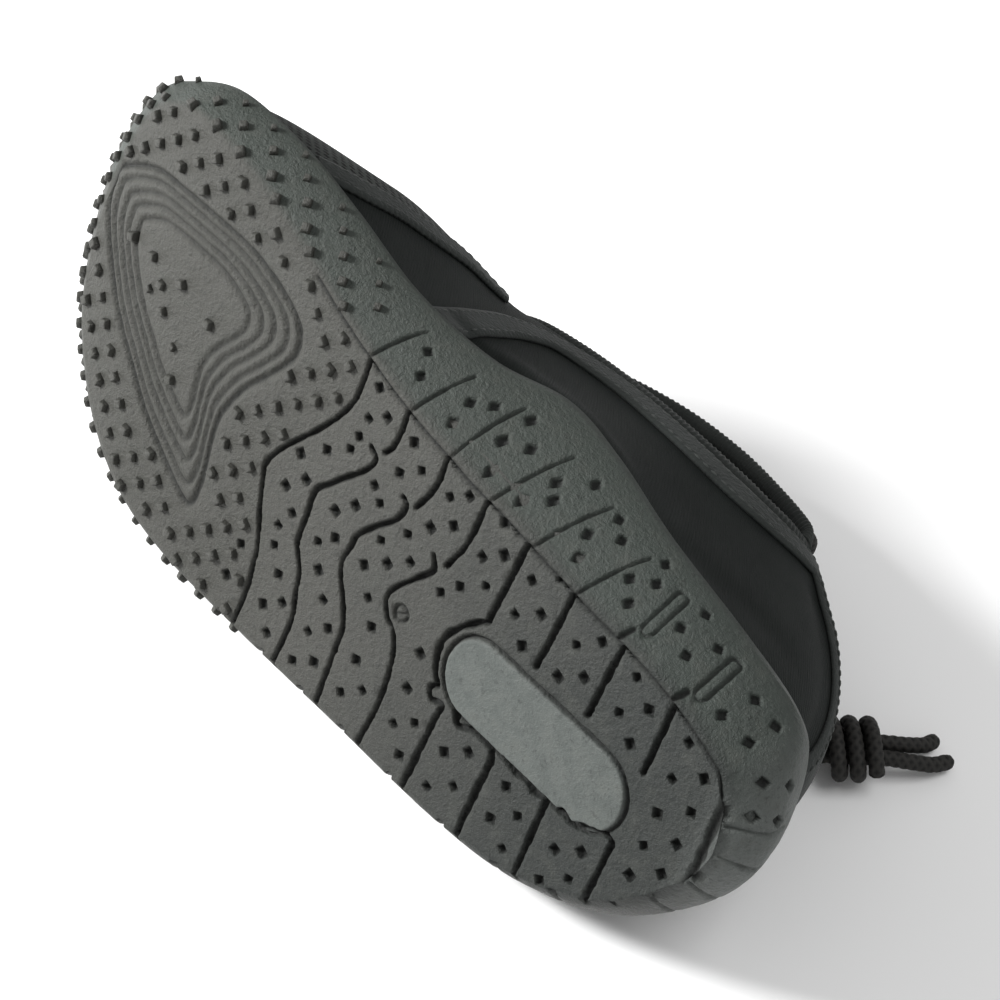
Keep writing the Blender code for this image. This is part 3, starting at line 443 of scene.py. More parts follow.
def side_relief(inner_run, outer_run, inner_length, outer_length):
    """The wall's pattern: signed run from the toe by share of the height."""
    relief = Relief((-outer_length - 4, 0), (inner_length + 4, WALL_RISE), WALL_CELL, 9)
    for u in INNER_RIBS:
        a = inner_run(u)
        line = np.array(((a - 0.6, -1.0), (a + 0.2, 4.5), (a + 1.2, 10.0), (a + 2.6, 15.6)))
        relief.groove(line, 0.3, 0.8, 0.45, 0.7)
        relief.ridge(line + (1.3, 0.4), 0.55, 0.55, 0.7)
    for u in INNER_SLOTS:
        a = inner_run(u)
        loop = stadium((0, 0), 13.0, 2.9)[:, ::-1] @ np.array(((0.98, 0.17), (-0.17, 0.98)))
        relief.groove(loop + (a + 1.0, 10.6), 0.25, 0.8, 0.45, 0.5)
        relief.groove(np.array(((a - 0.8, -1.0), (a - 0.2, 3.6))), 0.5, 1.1, 0.6)
    relief.groove(np.array(((inner_run(0.5), 0.0), (inner_length - 14.0, 0.0))), 0.3, 0.9, 0.5, 0.5)
    for u, share in WALL_PITS:
        turn = math.pi / 4 + 0.3 * math.sin(u * 90)
        relief.pit(inner_run(u), share * WALL_RISE, WALL_PIT_HALF, WALL_PIT_DEPTH, turn)
    for x in OUTER_RIBS:
        a = -outer_run(x)
        relief.groove(np.array(((a, -1.0), (a, 6.0), (a - 0.6, 11.0))), 0.6, 1.2, 0.6, 0.6)
    heel_lines = (inner_length - 7.0, 2.0 - outer_length, 15.0 - outer_length, 27.0 - outer_length)
    for k, a in enumerate(heel_lines):
        top = 13.0 + 2.5 * (k % 2)
        relief.groove(np.array(((a, 1.0), (a + 0.8, 8.0), (a + 0.2, top))), 0.3, 0.6, 0.6)
    return relief


def run_by(values, lengths):
    """Look up the run from the toe by another measure that grows with it."""
    order = np.argsort(values)
    return lambda value: float(np.interp(value, values[order], lengths[order]))


class Sole:
    """Everything that the tread, its studs and its wall share."""

    def __init__(self):
        fine = np.linspace(0, 1, 2001)
        inner, outer = wall_point(fine, 0.3), wall_point(2 - fine, 0.3)
        self.fine = fine
        self.inner_run = run_along(inner)
        self.outer_run = run_along(outer)
        edge_in, edge_out = wall_point(fine, 0.0), wall_point(2 - fine, 0.0)
        self.edge_in = edge_in[np.argsort(edge_in[:, 0])]
        self.edge_out = edge_out[np.argsort(edge_out[:, 0])]
        self.tread = tread_relief()
        by_length = run_by(outer[:, 0], self.outer_run)
        by_place = run_by(fine, self.inner_run)
        self.side = side_relief(by_place, by_length, self.inner_run[-1], self.outer_run[-1])

    def margin(self, x, z):
        """How far inside the tread's edges a place lies."""
        high = np.interp(x, self.edge_in[:, 0], self.edge_in[:, 2])
        low = np.interp(x, self.edge_out[:, 0], self.edge_out[:, 2])
        return np.minimum(high - z, z - low)


sole = Sole()


def sole_mesh():
    """One closed shell, with small faces only where the pattern needs them."""
    stations, cells, rows = 190, 66, 14
    inner, inner_length = even_places(stations, False)
    outer, outer_length = even_places(stations, True)
    work = bmesh.new()
    run_layer = work.verts.layers.float.new("run")
    rise_layer = work.verts.layers.float.new("rise")
    wall_layer = work.verts.layers.float.new("wall")
    part = work.faces.layers.int.new("part")

    def vertex(point, run=0.0, share=0.0, wall=0.0):
        made = work.verts.new(point)
        made[run_layer], made[rise_layer], made[wall_layer] = run, share * WALL_RISE, wall
        return made

    def face(corners, kind):
        corners = list(dict.fromkeys(corners))
        if len(corners) > 2:
            work.faces.new(corners)[part] = kind

    shares = np.linspace(0, 1, rows + 1)
    columns = {}
    for side, places, length in ((1, inner, inner_length), (-1, outer, outer_length)):
        grid = wall_point(places[:, None], shares[None, :])
        columns[side] = [[vertex(grid[i, k], side * length * i / stations, shares[k], 1.0)
                          for k in range(rows + 1)] for i in range(stations + 1)]
    columns[-1][0], columns[-1][-1] = columns[1][0], columns[1][-1]
    for side in (1, -1):
        for near, far in zip(columns[side][:-1], columns[side][1:]):
            for k in range(rows):
                corners = (near[k], far[k], far[k + 1], near[k + 1])
                face(corners if side > 0 else corners[::-1], 1)
    ladder = []
    for i in range(stations + 1):
        a, b = columns[1][i][0], columns[-1][i][0]
        if i == stations:
            b = a
        if i in (0, stations):
            ladder.append([a] * (cells + 1))
            continue
        line = [a]
        for k in range(1, cells):
            spot = a.co.lerp(b.co, k / cells)
            spot.y = float(lift(spot.x))
            line.append(vertex(spot))
        ladder.append(line + [b])
    for near, far in zip(ladder[:-1], ladder[1:]):
        for k in range(cells):
            face((near[k], near[k + 1], far[k + 1], far[k]), 0)
    inside = {}
    for side, places in ((1, inner), (-1, outer)):
        rings = [wall_point(places, share, CUP_WALL, CUP_FLOOR) for share in (1.0, 0.7, 0.4)]
        low = wall_point(places, 0.3, CUP_WALL)
        low[:, 1] = lift(low[:, 0]) + CUP_FLOOR
        rings.append(low)
        inside[side] = [[vertex(ring[i]) for ring in rings] for i in range(stations + 1)]
    inside[-1][0], inside[-1][-1] = inside[1][0], inside[1][-1]
    for side in (1, -1):
        for i in range(stations):
            near = [columns[side][i][-1]] + inside[side][i]
            far = [columns[side][i + 1][-1]] + inside[side][i + 1]
            for k in range(len(near) - 1):
                corners = (near[k], far[k], far[k + 1], near[k + 1])
                face(corners if side > 0 else corners[::-1], 2)
    for i in range(stations):
        face((inside[1][i][-1], inside[1][i + 1][-1], inside[-1][i + 1][-1], inside[-1][i][-1]), 2)
    for level in range(2):
        limit = DETAIL_LIMIT + DETAIL_STEP * level
        chosen = [f for f in work.faces
                  if f[part] < 2 and needs_detail(f, run_layer, rise_layer, part, limit)]
        edges = list({e for f in chosen for e in f.edges})
        bmesh.ops.subdivide_edges(work, edges=edges, cuts=1, use_grid_fill=True)
    bmesh.ops.remove_doubles(work, verts=work.verts[:], dist=WELD)
    bmesh.ops.recalc_face_normals(work, faces=work.faces[:])
    return work, run_layer, rise_layer, wall_layer


def needs_detail(face, run_layer, rise_layer, part_layer, limit):
    """True where the pattern changes within a face of the sole."""
    corners = face.verts
    if face[part_layer] == 1:
        if abs(corners[0][run_layer]) > abs(sole.outer_run[-1]) - 3:
            return False
        spots = np.array([(v[run_layer], v[rise_layer]) for v in corners])
        relief = sole.side
    else:
        spots = np.array([(v.co.x, v.co.z) for v in corners])
        relief = sole.tread
    low, high = spots.min(0), spots.max(0)
    cut = tuple(slice(max(int((l - o) / relief.cell), 0), int((h - o) / relief.cell) + 2)
                for l, h, o in zip(low, high, relief.low))
    found = relief.height[cut]
    return found.size > 0 and found.max() - found.min() > limit


def finished_mesh(name, work):
    """Turn a bmesh into a smooth piece at the origin."""
    mesh = bpy.data.meshes.new(name)
    work.to_mesh(mesh)
    work.free()
    mesh.shade_smooth()
    item = bpy.data.objects.new(name, mesh)
    bpy.context.scene.collection.objects.link(item)
    return item


def paint(item, name, values):
    """Keep a number for each point of a piece, for its material to read."""
    layer = item.data.attributes.new(name, "FLOAT", "POINT")
    layer.data.foreach_set("value", np.asarray(values, np.float32))


def outsole_piece():
    """The outsole: its shell pushed in and out by the pattern."""
    work, run_layer, rise_layer, wall_layer = sole_mesh()
    work.verts.ensure_lookup_table()
    work.normal_update()
    spots = np.array([v.co for v in work.verts])
    out = np.array([v.normal for v in work.verts])
    run = np.array([v[run_layer] for v in work.verts])
    rise = np.array([v[rise_layer] for v in work.verts])
    wall = np.array([v[wall_layer] for v in work.verts]) > 0.99
    inner = spots[:, 1] > lift(spots[:, 0]) + CUP_FLOOR - 0.3
    on_tread = ~wall & ~inner
    tread = sole.tread.read(spots[:, 0], spots[:, 2])
    side = sole.side.read(run, rise)
    edge = wall & (rise < 0.4)
    height = np.where(on_tread, tread, np.where(wall, side, 0.0))
    height = np.where(edge, np.minimum(tread, side), height)
    fade = np.where(wall, 1 - ease(WALL_RISE - 2.5, WALL_RISE - 0.3, rise), 1.0)
    unrest = sole.tread.read(spots[:, 0], spots[:, 2], sole.tread.wobble)
    worn = sole.side.read(run, rise, sole.side.wobble)
    height = height * fade + np.where(on_tread, unrest * 0.16, np.where(wall, worn * 0.2 * fade, 0))
    height = height - np.where(edge, 0.35, 0.0)
    across, along, length, width = PLATE
    reach = np.maximum(np.abs(spots[:, 0] - along) - (length - width) / 2, 0)
    on_plate = on_tread * (1 - ease(width / 2 - 1.0, width / 2 - 0.2, np.hypot(reach, spots[:, 2] - across)))
    height = height + on_plate * 0.35
    moved = laid(spots + out * height[:, None])
    for v, spot in zip(work.verts, moved):
        v.co = spot
    item = finished_mesh("outsole_moulding", work)
    # The depth of each cut also paints shade into the rubber's colour: grooves and pits turn near-black.
    paint(item, "cut", np.clip(-height / 1.4, 0, 1) * (~inner | wall))
    paint(item, "plate", on_plate)
    paint(item, "flank", wall * ease(0.5, 3.0, rise) * (run > 0))
    paint(item, "far_flank", wall * ease(0.5, 3.0, rise) * (run <= 0))
    paint(item, "length", spots[:, 0] / SOLE_LENGTH)
    return item


class Value:
    """A number that varies over a surface. Sums on it add Math nodes."""

    def __init__(self, finish, socket):
        self.finish = finish
        self.socket = socket

    def math(self, operation, *others):
        inputs = dict(enumerate((self, *others)))
        return self.finish.node("ShaderNodeMath", {"operation": operation}, inputs)

    def __add__(self, other):
        return self.math("ADD", other)

    def __mul__(self, other):
        return self.math("MULTIPLY", other)

    def __rsub__(self, other):
        return self.finish.node("ShaderNodeMath", {"operation": "SUBTRACT"}, {0: other, 1: self})

    __radd__ = __add__

    def wave(self, pitch):
        """A cosine that comes back after each pitch."""
        return (self * (2 * math.pi / pitch)).math("COSINE")

    def step(self, low, high):
        """0 below low, 1 above high, soft between."""
        return self.finish.node("ShaderNodeMapRange", {"interpolation_type": "SMOOTHSTEP"},
                                {"Value": self, "From Min": low, "From Max": high})


class Finish:
    """A material of the shoe, built node by node."""

    def __init__(self, name, **sockets):
        self.material = bpy.data.materials.new(name)
        self.material.use_nodes = True
        self.tree = self.material.node_tree
        self.shader = self.tree.nodes["Principled BSDF"]
        for key, value in sockets.items():
            self.shader.inputs[key.replace("_", " ")].default_value = value

    def node(self, kind, settings=None, inputs=None, output=0):
        """Add one node: its settings first, then its inputs' values or links."""
        made = self.tree.nodes.new(kind)
        for key, value in (settings or {}).items():
            setattr(made, key, value)
        for key, value in (inputs or {}).items():
            if isinstance(value, Value):
                self.tree.links.new(value.socket, made.inputs[key])
            else:
                made.inputs[key].default_value = value
        return Value(self, made.outputs[output])

    def place(self):
        """Where a point is on the piece, in metres."""
        return self.node("ShaderNodeTexCoord", output="Object")

    def painted(self, name):
        """A number that was kept for each point of the piece."""
        return self.node("ShaderNodeAttribute", {"attribute_name": name}, output="Fac")

    def noise(self, vector, scale, detail=3.0, roughness=0.5):
        return self.node("ShaderNodeTexNoise", None,
                         {"Vector": vector, "Scale": scale, "Detail": detail, "Roughness": roughness})

    def mix(self, factor, low, high):
        """Blend two colours."""
        low, high = ((*c, 1) if isinstance(c, tuple) else c for c in (low, high))
        return self.node("ShaderNodeMix", {"data_type": "RGBA"}, {0: factor, 6: low, 7: high}, output=2)

    def bump(self, height, distance, strength=1.0, normal=None):
        inputs = {"Height": height, "Distance": distance, "Strength": strength}
        if normal is not None:
            inputs["Normal"] = normal
        return self.node("ShaderNodeBump", None, inputs)

    def wire(self, **values):
        """Feed the shader's own sockets."""
        for key, value in values.items():
            self.tree.links.new(value.socket, self.shader.inputs[key.replace("_", " ")])
        return self.material


def moulded_rubber():
    """Dull grey rubber: warm and lighter in front, darker toward the heel, with painted shade in its grooves
    and pits and a painted highlight on the back of the heel.
    """
    rubber = Finish("moulded_rubber", Specular_IOR_Level=0.32)
    place = rubber.place()
    broad = rubber.noise(place, 38.0, 3.0)
    blotch = rubber.noise(place, 210.0, 4.0, 0.6)
    grain = rubber.noise(place, 1500.0, 3.0, 0.7)
    crumb = rubber.noise(place, 700.0, 4.0, 0.75)
    length = rubber.painted("length")
    cut = rubber.painted("cut")
    plate = rubber.painted("plate")
    flank = rubber.painted("flank")
    toe = (0.041, 0.041, 0.0355)
    heel = (0.0125, 0.0155, 0.0135)
    colour = rubber.mix((length + broad * 0.25).step(0.55, 0.98), toe, heel)
    colour = rubber.mix(flank * 0.85, colour, (0.033, 0.041, 0.035))
    colour = rubber.mix(rubber.painted("far_flank") * 0.7, colour, (0.06, 0.062, 0.057))
    # Painted highlight: the back of the heel turns lighter, standing in for the sheen of its smoother rubber.
    colour = rubber.mix(length.step(0.93, 1.0) * (1.0 - plate), colour, (0.085, 0.093, 0.088))
    smooth = rubber.mix(blotch.step(0.35, 0.7), (0.06, 0.068, 0.063), (0.082, 0.091, 0.085))
    colour = rubber.mix(plate, colour, smooth)
    colour = rubber.mix(blotch.step(0.45, 0.75) * 0.35, colour, (0.055, 0.058, 0.05))
    colour = rubber.mix(crumb.step(0.52, 0.72) * 0.5, colour, (0.012, 0.0135, 0.012))
    colour = rubber.mix(grain.step(0.6, 0.75) * 0.3, colour, (0.13, 0.135, 0.125))
    # Painted shade: grooves, pits and other recesses darken to near-black with their depth.
    colour = rubber.mix(cut.step(0.15, 0.85) * 0.9, colour, (0.008, 0.009, 0.008))
    rough = 0.4 + blotch * 0.25 + cut * 0.2
    fine = rubber.bump(grain, 0.0003, 0.7)
    rubbed = rubber.bump(crumb * (1.0 - plate * 0.7), 0.0009, 0.8, fine)
    return rubber.wire(Base_Color=colour, Roughness=rough, Normal=rubber.bump(broad, 0.0015, 0.3, rubbed))


outsole = outsole_piece()
rubber = moulded_rubber()
outsole.data.materials.append(rubber)
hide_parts("outsole")
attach(outsole, "shoe")

# The studs: small square pegs of the same moulding that stand out of the
# forefoot and of the wall round the toe, in staggered rows.
STUD_HALF = 1.22
STUD_RISE = 1.5
STUD_SUNK = 0.7
STUD_TOP = 0.78
STUD_FOOT = 1.12
STUD_PITCH = 6.4
STUD_SHARES = (0.16, 0.42, 0.68)
STUD_ENDS = (0.16, 0.50)
WAVE_CLEAR = 2.2
EDGE_CLEAR = 1.3
RING_CLEAR = 2.6
PIT_CLEAR = 3
FLANK_REACH = 92


def peg_shape():
    """One square peg with a rounded top, standing on its own foot."""
    work = bmesh.new()
    bmesh.ops.create_cube(work, size=1.0)
    for v in work.verts:
        top = v.co.z > 0
        v.co.x *= 2 * STUD_HALF * (STUD_TOP if top else STUD_FOOT) * MM
        v.co.y *= 2 * STUD_HALF * (STUD_TOP if top else STUD_FOOT) * MM
        v.co.z = (STUD_RISE if top else -STUD_SUNK) * MM
    edges = [e for e in work.edges if any(v.co.z > 0 for v in e.verts)]
    bmesh.ops.bevel(work, geom=edges, offset=0.3 * MM, segments=2, affect="EDGES", profile=0.6)
    return work


def scatter_tree():
    """Node tree that sets copies of a small shape on points."""
    tree = bpy.data.node_groups.new("set_on_points", "GeometryNodeTree")
    for name in ("Geometry", "Object", "Material"):
        tree.interface.new_socket(name, in_out="INPUT", socket_type="NodeSocket" + name)
    tree.interface.new_socket("Geometry", in_out="OUTPUT", socket_type="NodeSocketGeometry")
    nodes = tree.nodes
    source = nodes.new("NodeGroupInput")
    shape = nodes.new("GeometryNodeObjectInfo")
    copies = nodes.new("GeometryNodeInstanceOnPoints")
    turn = nodes.new("FunctionNodeAxesToRotation")
    turn.primary_axis, turn.secondary_axis = "Z", "X"
    real = nodes.new("GeometryNodeRealizeInstances")
    dress = nodes.new("GeometryNodeSetMaterial")
    sink = nodes.new("NodeGroupOutput")
    read = {}
    for name in ("out", "way", "stretch"):
        read[name] = nodes.new("GeometryNodeInputNamedAttribute")
        read[name].data_type = "FLOAT_VECTOR"
        read[name].inputs["Name"].default_value = name
    for sender, sent, taker, taken in (
        (source, "Geometry", copies, "Points"),
        (source, "Object", shape, "Object"),
        (shape, "Geometry", copies, "Instance"),
        (read["out"], "Attribute", turn, "Primary Axis"),
        (read["way"], "Attribute", turn, "Secondary Axis"),
        (turn, "Rotation", copies, "Rotation"),
        (read["stretch"], "Attribute", copies, "Scale"),
        (copies, "Instances", real, "Geometry"),
        (real, "Geometry", dress, "Geometry"),
        (source, "Material", dress, "Material"),
        (dress, "Geometry", sink, "Geometry"),
    ):
        tree.links.new(sender.outputs[sent], taker.inputs[taken])
    return tree


SET_ON_POINTS = scatter_tree()


def applied(name, holder):
    """Turn what a piece's modifiers give into a plain piece."""
    seen = holder.evaluated_get(bpy.context.evaluated_depsgraph_get())
    item = bpy.data.objects.new(name, bpy.data.meshes.new_from_object(seen))
    item.data.name = name
    item.data.shade_smooth()
    bpy.context.scene.collection.objects.link(item)
    bpy.data.objects.remove(holder, do_unlink=True)
    return item


def scatter(name, spots, out, way, stretch, shape, finish):
    """A piece made of copies of a small shape, one on each place in metres."""
    mesh = bpy.data.meshes.new(name)
    mesh.from_pydata([tuple(p) for p in spots], [], [])
    for key, values in (("out", out), ("way", way), ("stretch", stretch)):
        layer = mesh.attributes.new(key, "FLOAT_VECTOR", "POINT")
        layer.data.foreach_set("vector", np.asarray(values, np.float32).ravel())
    holder = bpy.data.objects.new(name + "_points", mesh)
    bpy.context.scene.collection.objects.link(holder)
    small = finished_mesh(name + "_shape", shape)
    step = holder.modifiers.new("set", "NODES")
    step.node_group = SET_ON_POINTS
    given = {"Object": small, "Material": finish}
    for item in SET_ON_POINTS.interface.items_tree:
        if item.in_out == "INPUT" and item.name in given:
            step[item.identifier] = given[item.name]
    made = applied(name, holder)
    bpy.data.objects.remove(small, do_unlink=True)
    return made


def tread_studs():
    """Places of the studs under the forefoot: (along, across) and their size."""
    first_wave = smooth_line(WAVES[0])
    order = np.argsort(first_wave[:, 0])
    found = []
    outer_ring = pad_line(1.0)
    for m in range(-8, 18):
        for n in range(-24, 6):
            if (m + n) % 2:
                continue
            x, z = STUD_START[0] + STUD_STEP[0] * m, STUD_START[1] + STUD_STEP[1] * n
            limit = np.interp(z, first_wave[order, 0], first_wave[order, 1])
            if x > limit - WAVE_CLEAR or sole.margin(x, z) < EDGE_CLEAR:
                continue
            away = np.hypot(*(outer_ring - (x, z)).T).min()
            if inside_loop((x, z), outer_ring) or away < RING_CLEAR:
                continue
            if any(math.hypot(x - a, z - b) < PIT_CLEAR for b, a in FOREFOOT_PITS):
                continue
            found.append((x, z, 1.0))
    found += [(x, z, 0.95 if k < 7 else 0.7) for k, (z, x) in enumerate(PAD_STUDS)]
    return np.array(found)


def wall_studs(u, share):
    """Places on the wall, the way out there and the way a stud is turned."""
    along = wall_point(u + 0.003, share) - wall_point(u - 0.003, share)
    rise = wall_point(u, share + 0.04) - wall_point(u, share - 0.04)
    normal = np.cross(along, rise)
    normal /= np.linalg.norm(normal, axis=1)[:, None]
    return wall_point(u, share), normal, rise + along * 0.8


def flank_studs(start):
    """The same rows carried on over the arch-side wall, where they wear away."""
    places, shares, sizes = [], [], []
    fine = sole.fine
    inner = wall_point(fine, 0.0)
    arcs = np.linalg.norm(wall_point(fine, 1.0) - inner, axis=1)
    for m in range(-8, 18):
        for n in range(-6, 6):
            x, z = STUD_START[0] + STUD_STEP[0] * m, STUD_START[1] + STUD_STEP[1] * n
            k = int(np.abs(inner[:, 0] - x).argmin())
            past = z - inner[k, 2]
            share = (past + 0.6) * 1.05 / arcs[k]
            if (m + n) % 2 or sole.inner_run[k] < start or x > FLANK_REACH:
                continue
            if past < -EDGE_CLEAR or share > 0.86:
                continue
            places.append(fine[k])
            shares.append(max(share, 0.07))
            sizes.append(1.0 - 0.42 * ease(0.15, 0.85, share) - 0.15 * ease(55, FLANK_REACH, x))
    return *wall_studs(np.array(places), np.array(shares)), np.array(sizes)


def inside_loop(spot, loop):
    """True if a place lies inside a closed outline."""
    a, b = loop[:-1], loop[1:]
    crossing = (a[:, 1] > spot[1]) != (b[:, 1] > spot[1])
    rise = np.where(b[:, 1] == a[:, 1], 1e-9, b[:, 1] - a[:, 1])
    where = a[:, 0] + (spot[1] - a[:, 1]) / rise * (b[:, 0] - a[:, 0])
    return bool((crossing & (spot[0] < where)).sum() % 2)


def studs():
    """All studs of the sole, as one piece."""
    flat = tread_studs()
    x, z = flat[:, 0], flat[:, 1]
    spots = np.stack([x, lift(x), z], -1)
    tilt = lift(x + 0.5) - lift(x - 0.5)
    out = np.stack([tilt, -np.ones_like(x), np.zeros_like(x)], -1)
    way = np.stack([np.cos(0.25 * z), np.zeros_like(x), 1.6 + np.sin(0.3 * x)], -1)
    sizes = flat[:, 2] * (1 + 0.07 * np.sin(12.9 * x + 7.1 * z))
    rows = [(spots, out, way, sizes)]
    inner_end = np.interp(STUD_ENDS[0], sole.fine, sole.inner_run)
    outer_end = np.interp(STUD_ENDS[1], sole.fine, sole.outer_run)
    for k, share in enumerate(STUD_SHARES):
        runs = np.arange(-outer_end + STUD_PITCH / 2 * (k % 2), inner_end, STUD_PITCH)
        u = np.where(runs >= 0, np.interp(runs, sole.inner_run, sole.fine),
                     2 - np.interp(-runs, sole.outer_run, sole.fine)) % 2
        rows.append((*wall_studs(u, share), 0.92 + 0.08 * np.sin(3.1 * runs + k)))
    rows.append(flank_studs(inner_end))
    spots, out, way, sizes = (np.concatenate([row[i] for row in rows]) for i in range(4))
    stretch = np.stack([sizes, sizes, np.maximum(sizes, 0.75)], -1)
    made = scatter("outsole_studs", laid(spots), laid_way(out), laid_way(way), stretch, peg_shape(), rubber)
    x = np.array([v.co.x for v in made.data.vertices]) / MM
    paint(made, "length", (x - CARRY[0]) / SOLE_LENGTH)
    return made


stud_piece = studs()
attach(stud_piece, "shoe")

# The insole: a loose pad of foam with a knit face. It lies on the floor of the
# cup inside the sock, with a rounded edge and a dished top.
UPPER_WALL = 2.2
GAP = 0.3
CUP_EASE = 0.5
INSOLE_THICKNESS = 3.0
INSOLE_EASE = 1.0
INSOLE_DISH = 0.7
WELD_DRESSED = 0.00002


def grid_piece(name, rows, closed_rows, closed_ring, finish, caps=False):
    """A closed or open shell through rows of points in metres."""
    rows = np.asarray(rows)
    count, size = rows.shape[:2]
    faces = []
    for i in range(count if closed_rows else count - 1):
        for k in range(size if closed_ring else size - 1):
            a, b = i * size, (i + 1) % count * size
            faces.append((a + k, b + k, b + (k + 1) % size, a + (k + 1) % size))
    if caps:
        faces += [tuple(range(size)), tuple(range((count - 1) * size, count * size))]
    mesh = bpy.data.meshes.new(name)
    mesh.from_pydata(rows.reshape(-1, 3).tolist(), [], faces)
    work = bmesh.new()
    work.from_mesh(mesh)
    bmesh.ops.remove_doubles(work, verts=work.verts[:], dist=WELD_DRESSED)
    bmesh.ops.recalc_face_normals(work, faces=work.faces[:])
    bpy.data.meshes.remove(mesh)
    item = finished_mesh(name, work)
    item.data.materials.append(finish)
    return item


def plain_cloth(name, tones, wear, weave, depth, strength, **sockets):
    """A cloth of two close tones with a fine weave pressed into it."""
    cloth = Finish(name, **sockets)
    place = cloth.place()
    grain = cloth.noise(place, weave, 2.0)
    colour = cloth.mix(cloth.noise(place, *wear), *tones)
    return cloth.wire(Base_Color=colour, Normal=cloth.bump(grain, depth, strength))


def footbed():
    """The foam insole: a flat pad with a rounded edge and a dished top."""
    inward = CUP_WALL + CUP_EASE + UPPER_WALL + INSOLE_EASE
    stations = 260
    places = 2 * np.arange(stations) / stations
    row = read_rows(FOOT, foot_place(places), True)
    low = lift(row[:, 0] * SOLE_LENGTH)
    edge = wall_point(places, (CUP_FLOOR + GAP) / (row[:, 2] * WALL_HEIGHT - low), inward)
    mirror = edge[(-np.arange(stations)) % stations]
    middle = (edge + mirror) / 2
    rings = []
    profile = [(0.0, 0.0), (0.55, 0.0), (0.985, 0.0), (1.0, 0.25), (1.0, 0.8), (0.985, 0.98)]
    profile += [(share, 1.0) for share in np.linspace(0.95, 0.0, 14)]
    for share, height in profile:
        ring = middle + (edge - middle) * share
        dish = INSOLE_DISH * height * (1 - share * share) if height == 1.0 else 0.0
        ring[:, 1] = lift(ring[:, 0]) + CUP_FLOOR + GAP + INSOLE_THICKNESS * height - dish
        rings.append(ring)
    foam = plain_cloth("foam_cloth", ((0.04, 0.044, 0.042), (0.075, 0.08, 0.077)), (60.0, 3.0), 2600.0,
                       0.0003, 0.6, Roughness=0.9, Specular_IOR_Level=0.15)
    return grid_piece("footbed", laid(np.array(rings)), False, True, foam)


insole_pad = footbed()
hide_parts("insole")
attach(insole_pad, "shoe")

# The upper: one knitted neoprene sock glued into the cup, its front an open
# mesh. The form goes from the cup (v 0) to the crest or the topline (v 1).
COLLAR_HEIGHT = 96.0
CUP_SHARE = 0.2
VAMP_ROWS = 4
TOPLINE_HEEL = 10
PRESS_EASE = 2.5
TRIM_CLEARANCE = 1.6
CLEAR_FROM = 1.35
CLEAR_FADE = 0.06
CREST = np.array((
    # along, across, height, closure, roundness, hollow
    (0.080, 0.067, 0.240, 1.00, 1.10, 0.00), (0.121, 0.048, 0.345, 1.00, 1.15, 0.00),
    (0.181, 0.038, 0.490, 1.00, 1.25, 0.00), (0.250, 0.057, 0.638, 1.00, 1.25, 0.00),
    (0.319, 0.110, 0.765, 1.00, 1.25, 0.00),
))
TOPLINE = np.array((
    # along, across, height, closure, roundness, hollow
    (0.319, 0.110, 0.765, 1.00, 1.25, 0.00), (0.336, 0.180, 0.735, 0.85, 1.25, 0.00),
    (0.385, 0.238, 0.685, 0.60, 1.20, 0.30), (0.460, 0.262, 0.680, 0.35, 1.00, 0.90),
    (0.540, 0.267, 0.690, 0.20, 1.00, 1.40), (0.610, 0.267, 0.690, 0.20, 1.00, 1.40),
    (0.670, 0.257, 0.700, 0.25, 1.00, 1.20), (0.708, 0.240, 0.725, 0.35, 1.00, 0.80),
    (0.738, 0.213, 0.768, 0.45, 1.05, 0.40), (0.752, 0.182, 0.808, 0.55, 1.10, 0.10),
    (0.756, 0.150, 0.843, 0.60, 1.20, 0.00), (0.733, 0.128, 0.898, 0.55, 1.20, 0.10),
    (0.675, 0.118, 0.950, 0.50, 1.20, 0.00), (0.605, 0.110, 0.985, 0.50, 1.15, 0.00),
    (0.525, 0.100, 0.980, 0.50, 1.15, 0.00), (0.440, 0.085, 0.920, 0.55, 1.20, 0.20),
    (0.370, 0.072, 0.820, 0.70, 1.30, 0.10), (0.319, 0.110, 0.765, 1.00, 1.25, 0.00),
))
FOLDS = (
    # from u, v to u, v, half width in mm, height in mm
    (0.930, 0.25, 0.905, 0.80, 5.0, -0.9),
    (0.955, 0.30, 0.950, 0.75, 4.0, 0.5),
    (0.560, 0.34, 0.640, 0.30, 3.0, -0.9),
    (0.600, 0.42, 0.700, 0.34, 4.5, 0.7),
    (0.760, 0.28, 0.850, 0.42, 5.0, -0.5),
    (0.330, 0.70, 0.400, 0.98, 4.0, -0.7),
    (0.290, 0.72, 0.350, 0.98, 4.0, 0.5),
    (0.220, 0.75, 0.290, 0.98, 4.5, -0.5),
    (1.100, 0.45, 1.140, 0.85, 6.0, -1.1),
    (1.220, 0.50, 1.200, 0.85, 6.0, -1.0),
    (1.700, 0.70, 1.620, 0.98, 5.0, -0.6),
)
FLOOR_SHARES = np.array((0, 0.08, 0.25, 0.5, 0.75, 1))
FLOOR_LEVEL = (wall_point(np.arange(76)[:, None] / 38, FLOOR_SHARES) @ UPWARD).min()
MM_ALONG = 250
MM_UP = 85
NORMAL_TOP = 0.985
MESH_PITCH = (3.6, 2.7)
KNIT_PITCH = (0.9, 0.8)
TRIM_ROUTE = np.array((
    # u, v
    (0.430, 0.230), (0.450, 0.345), (0.462, 0.440), (0.476, 0.540), (0.488, 0.680), (0.505, 0.780),
    (0.520, 0.850),
))


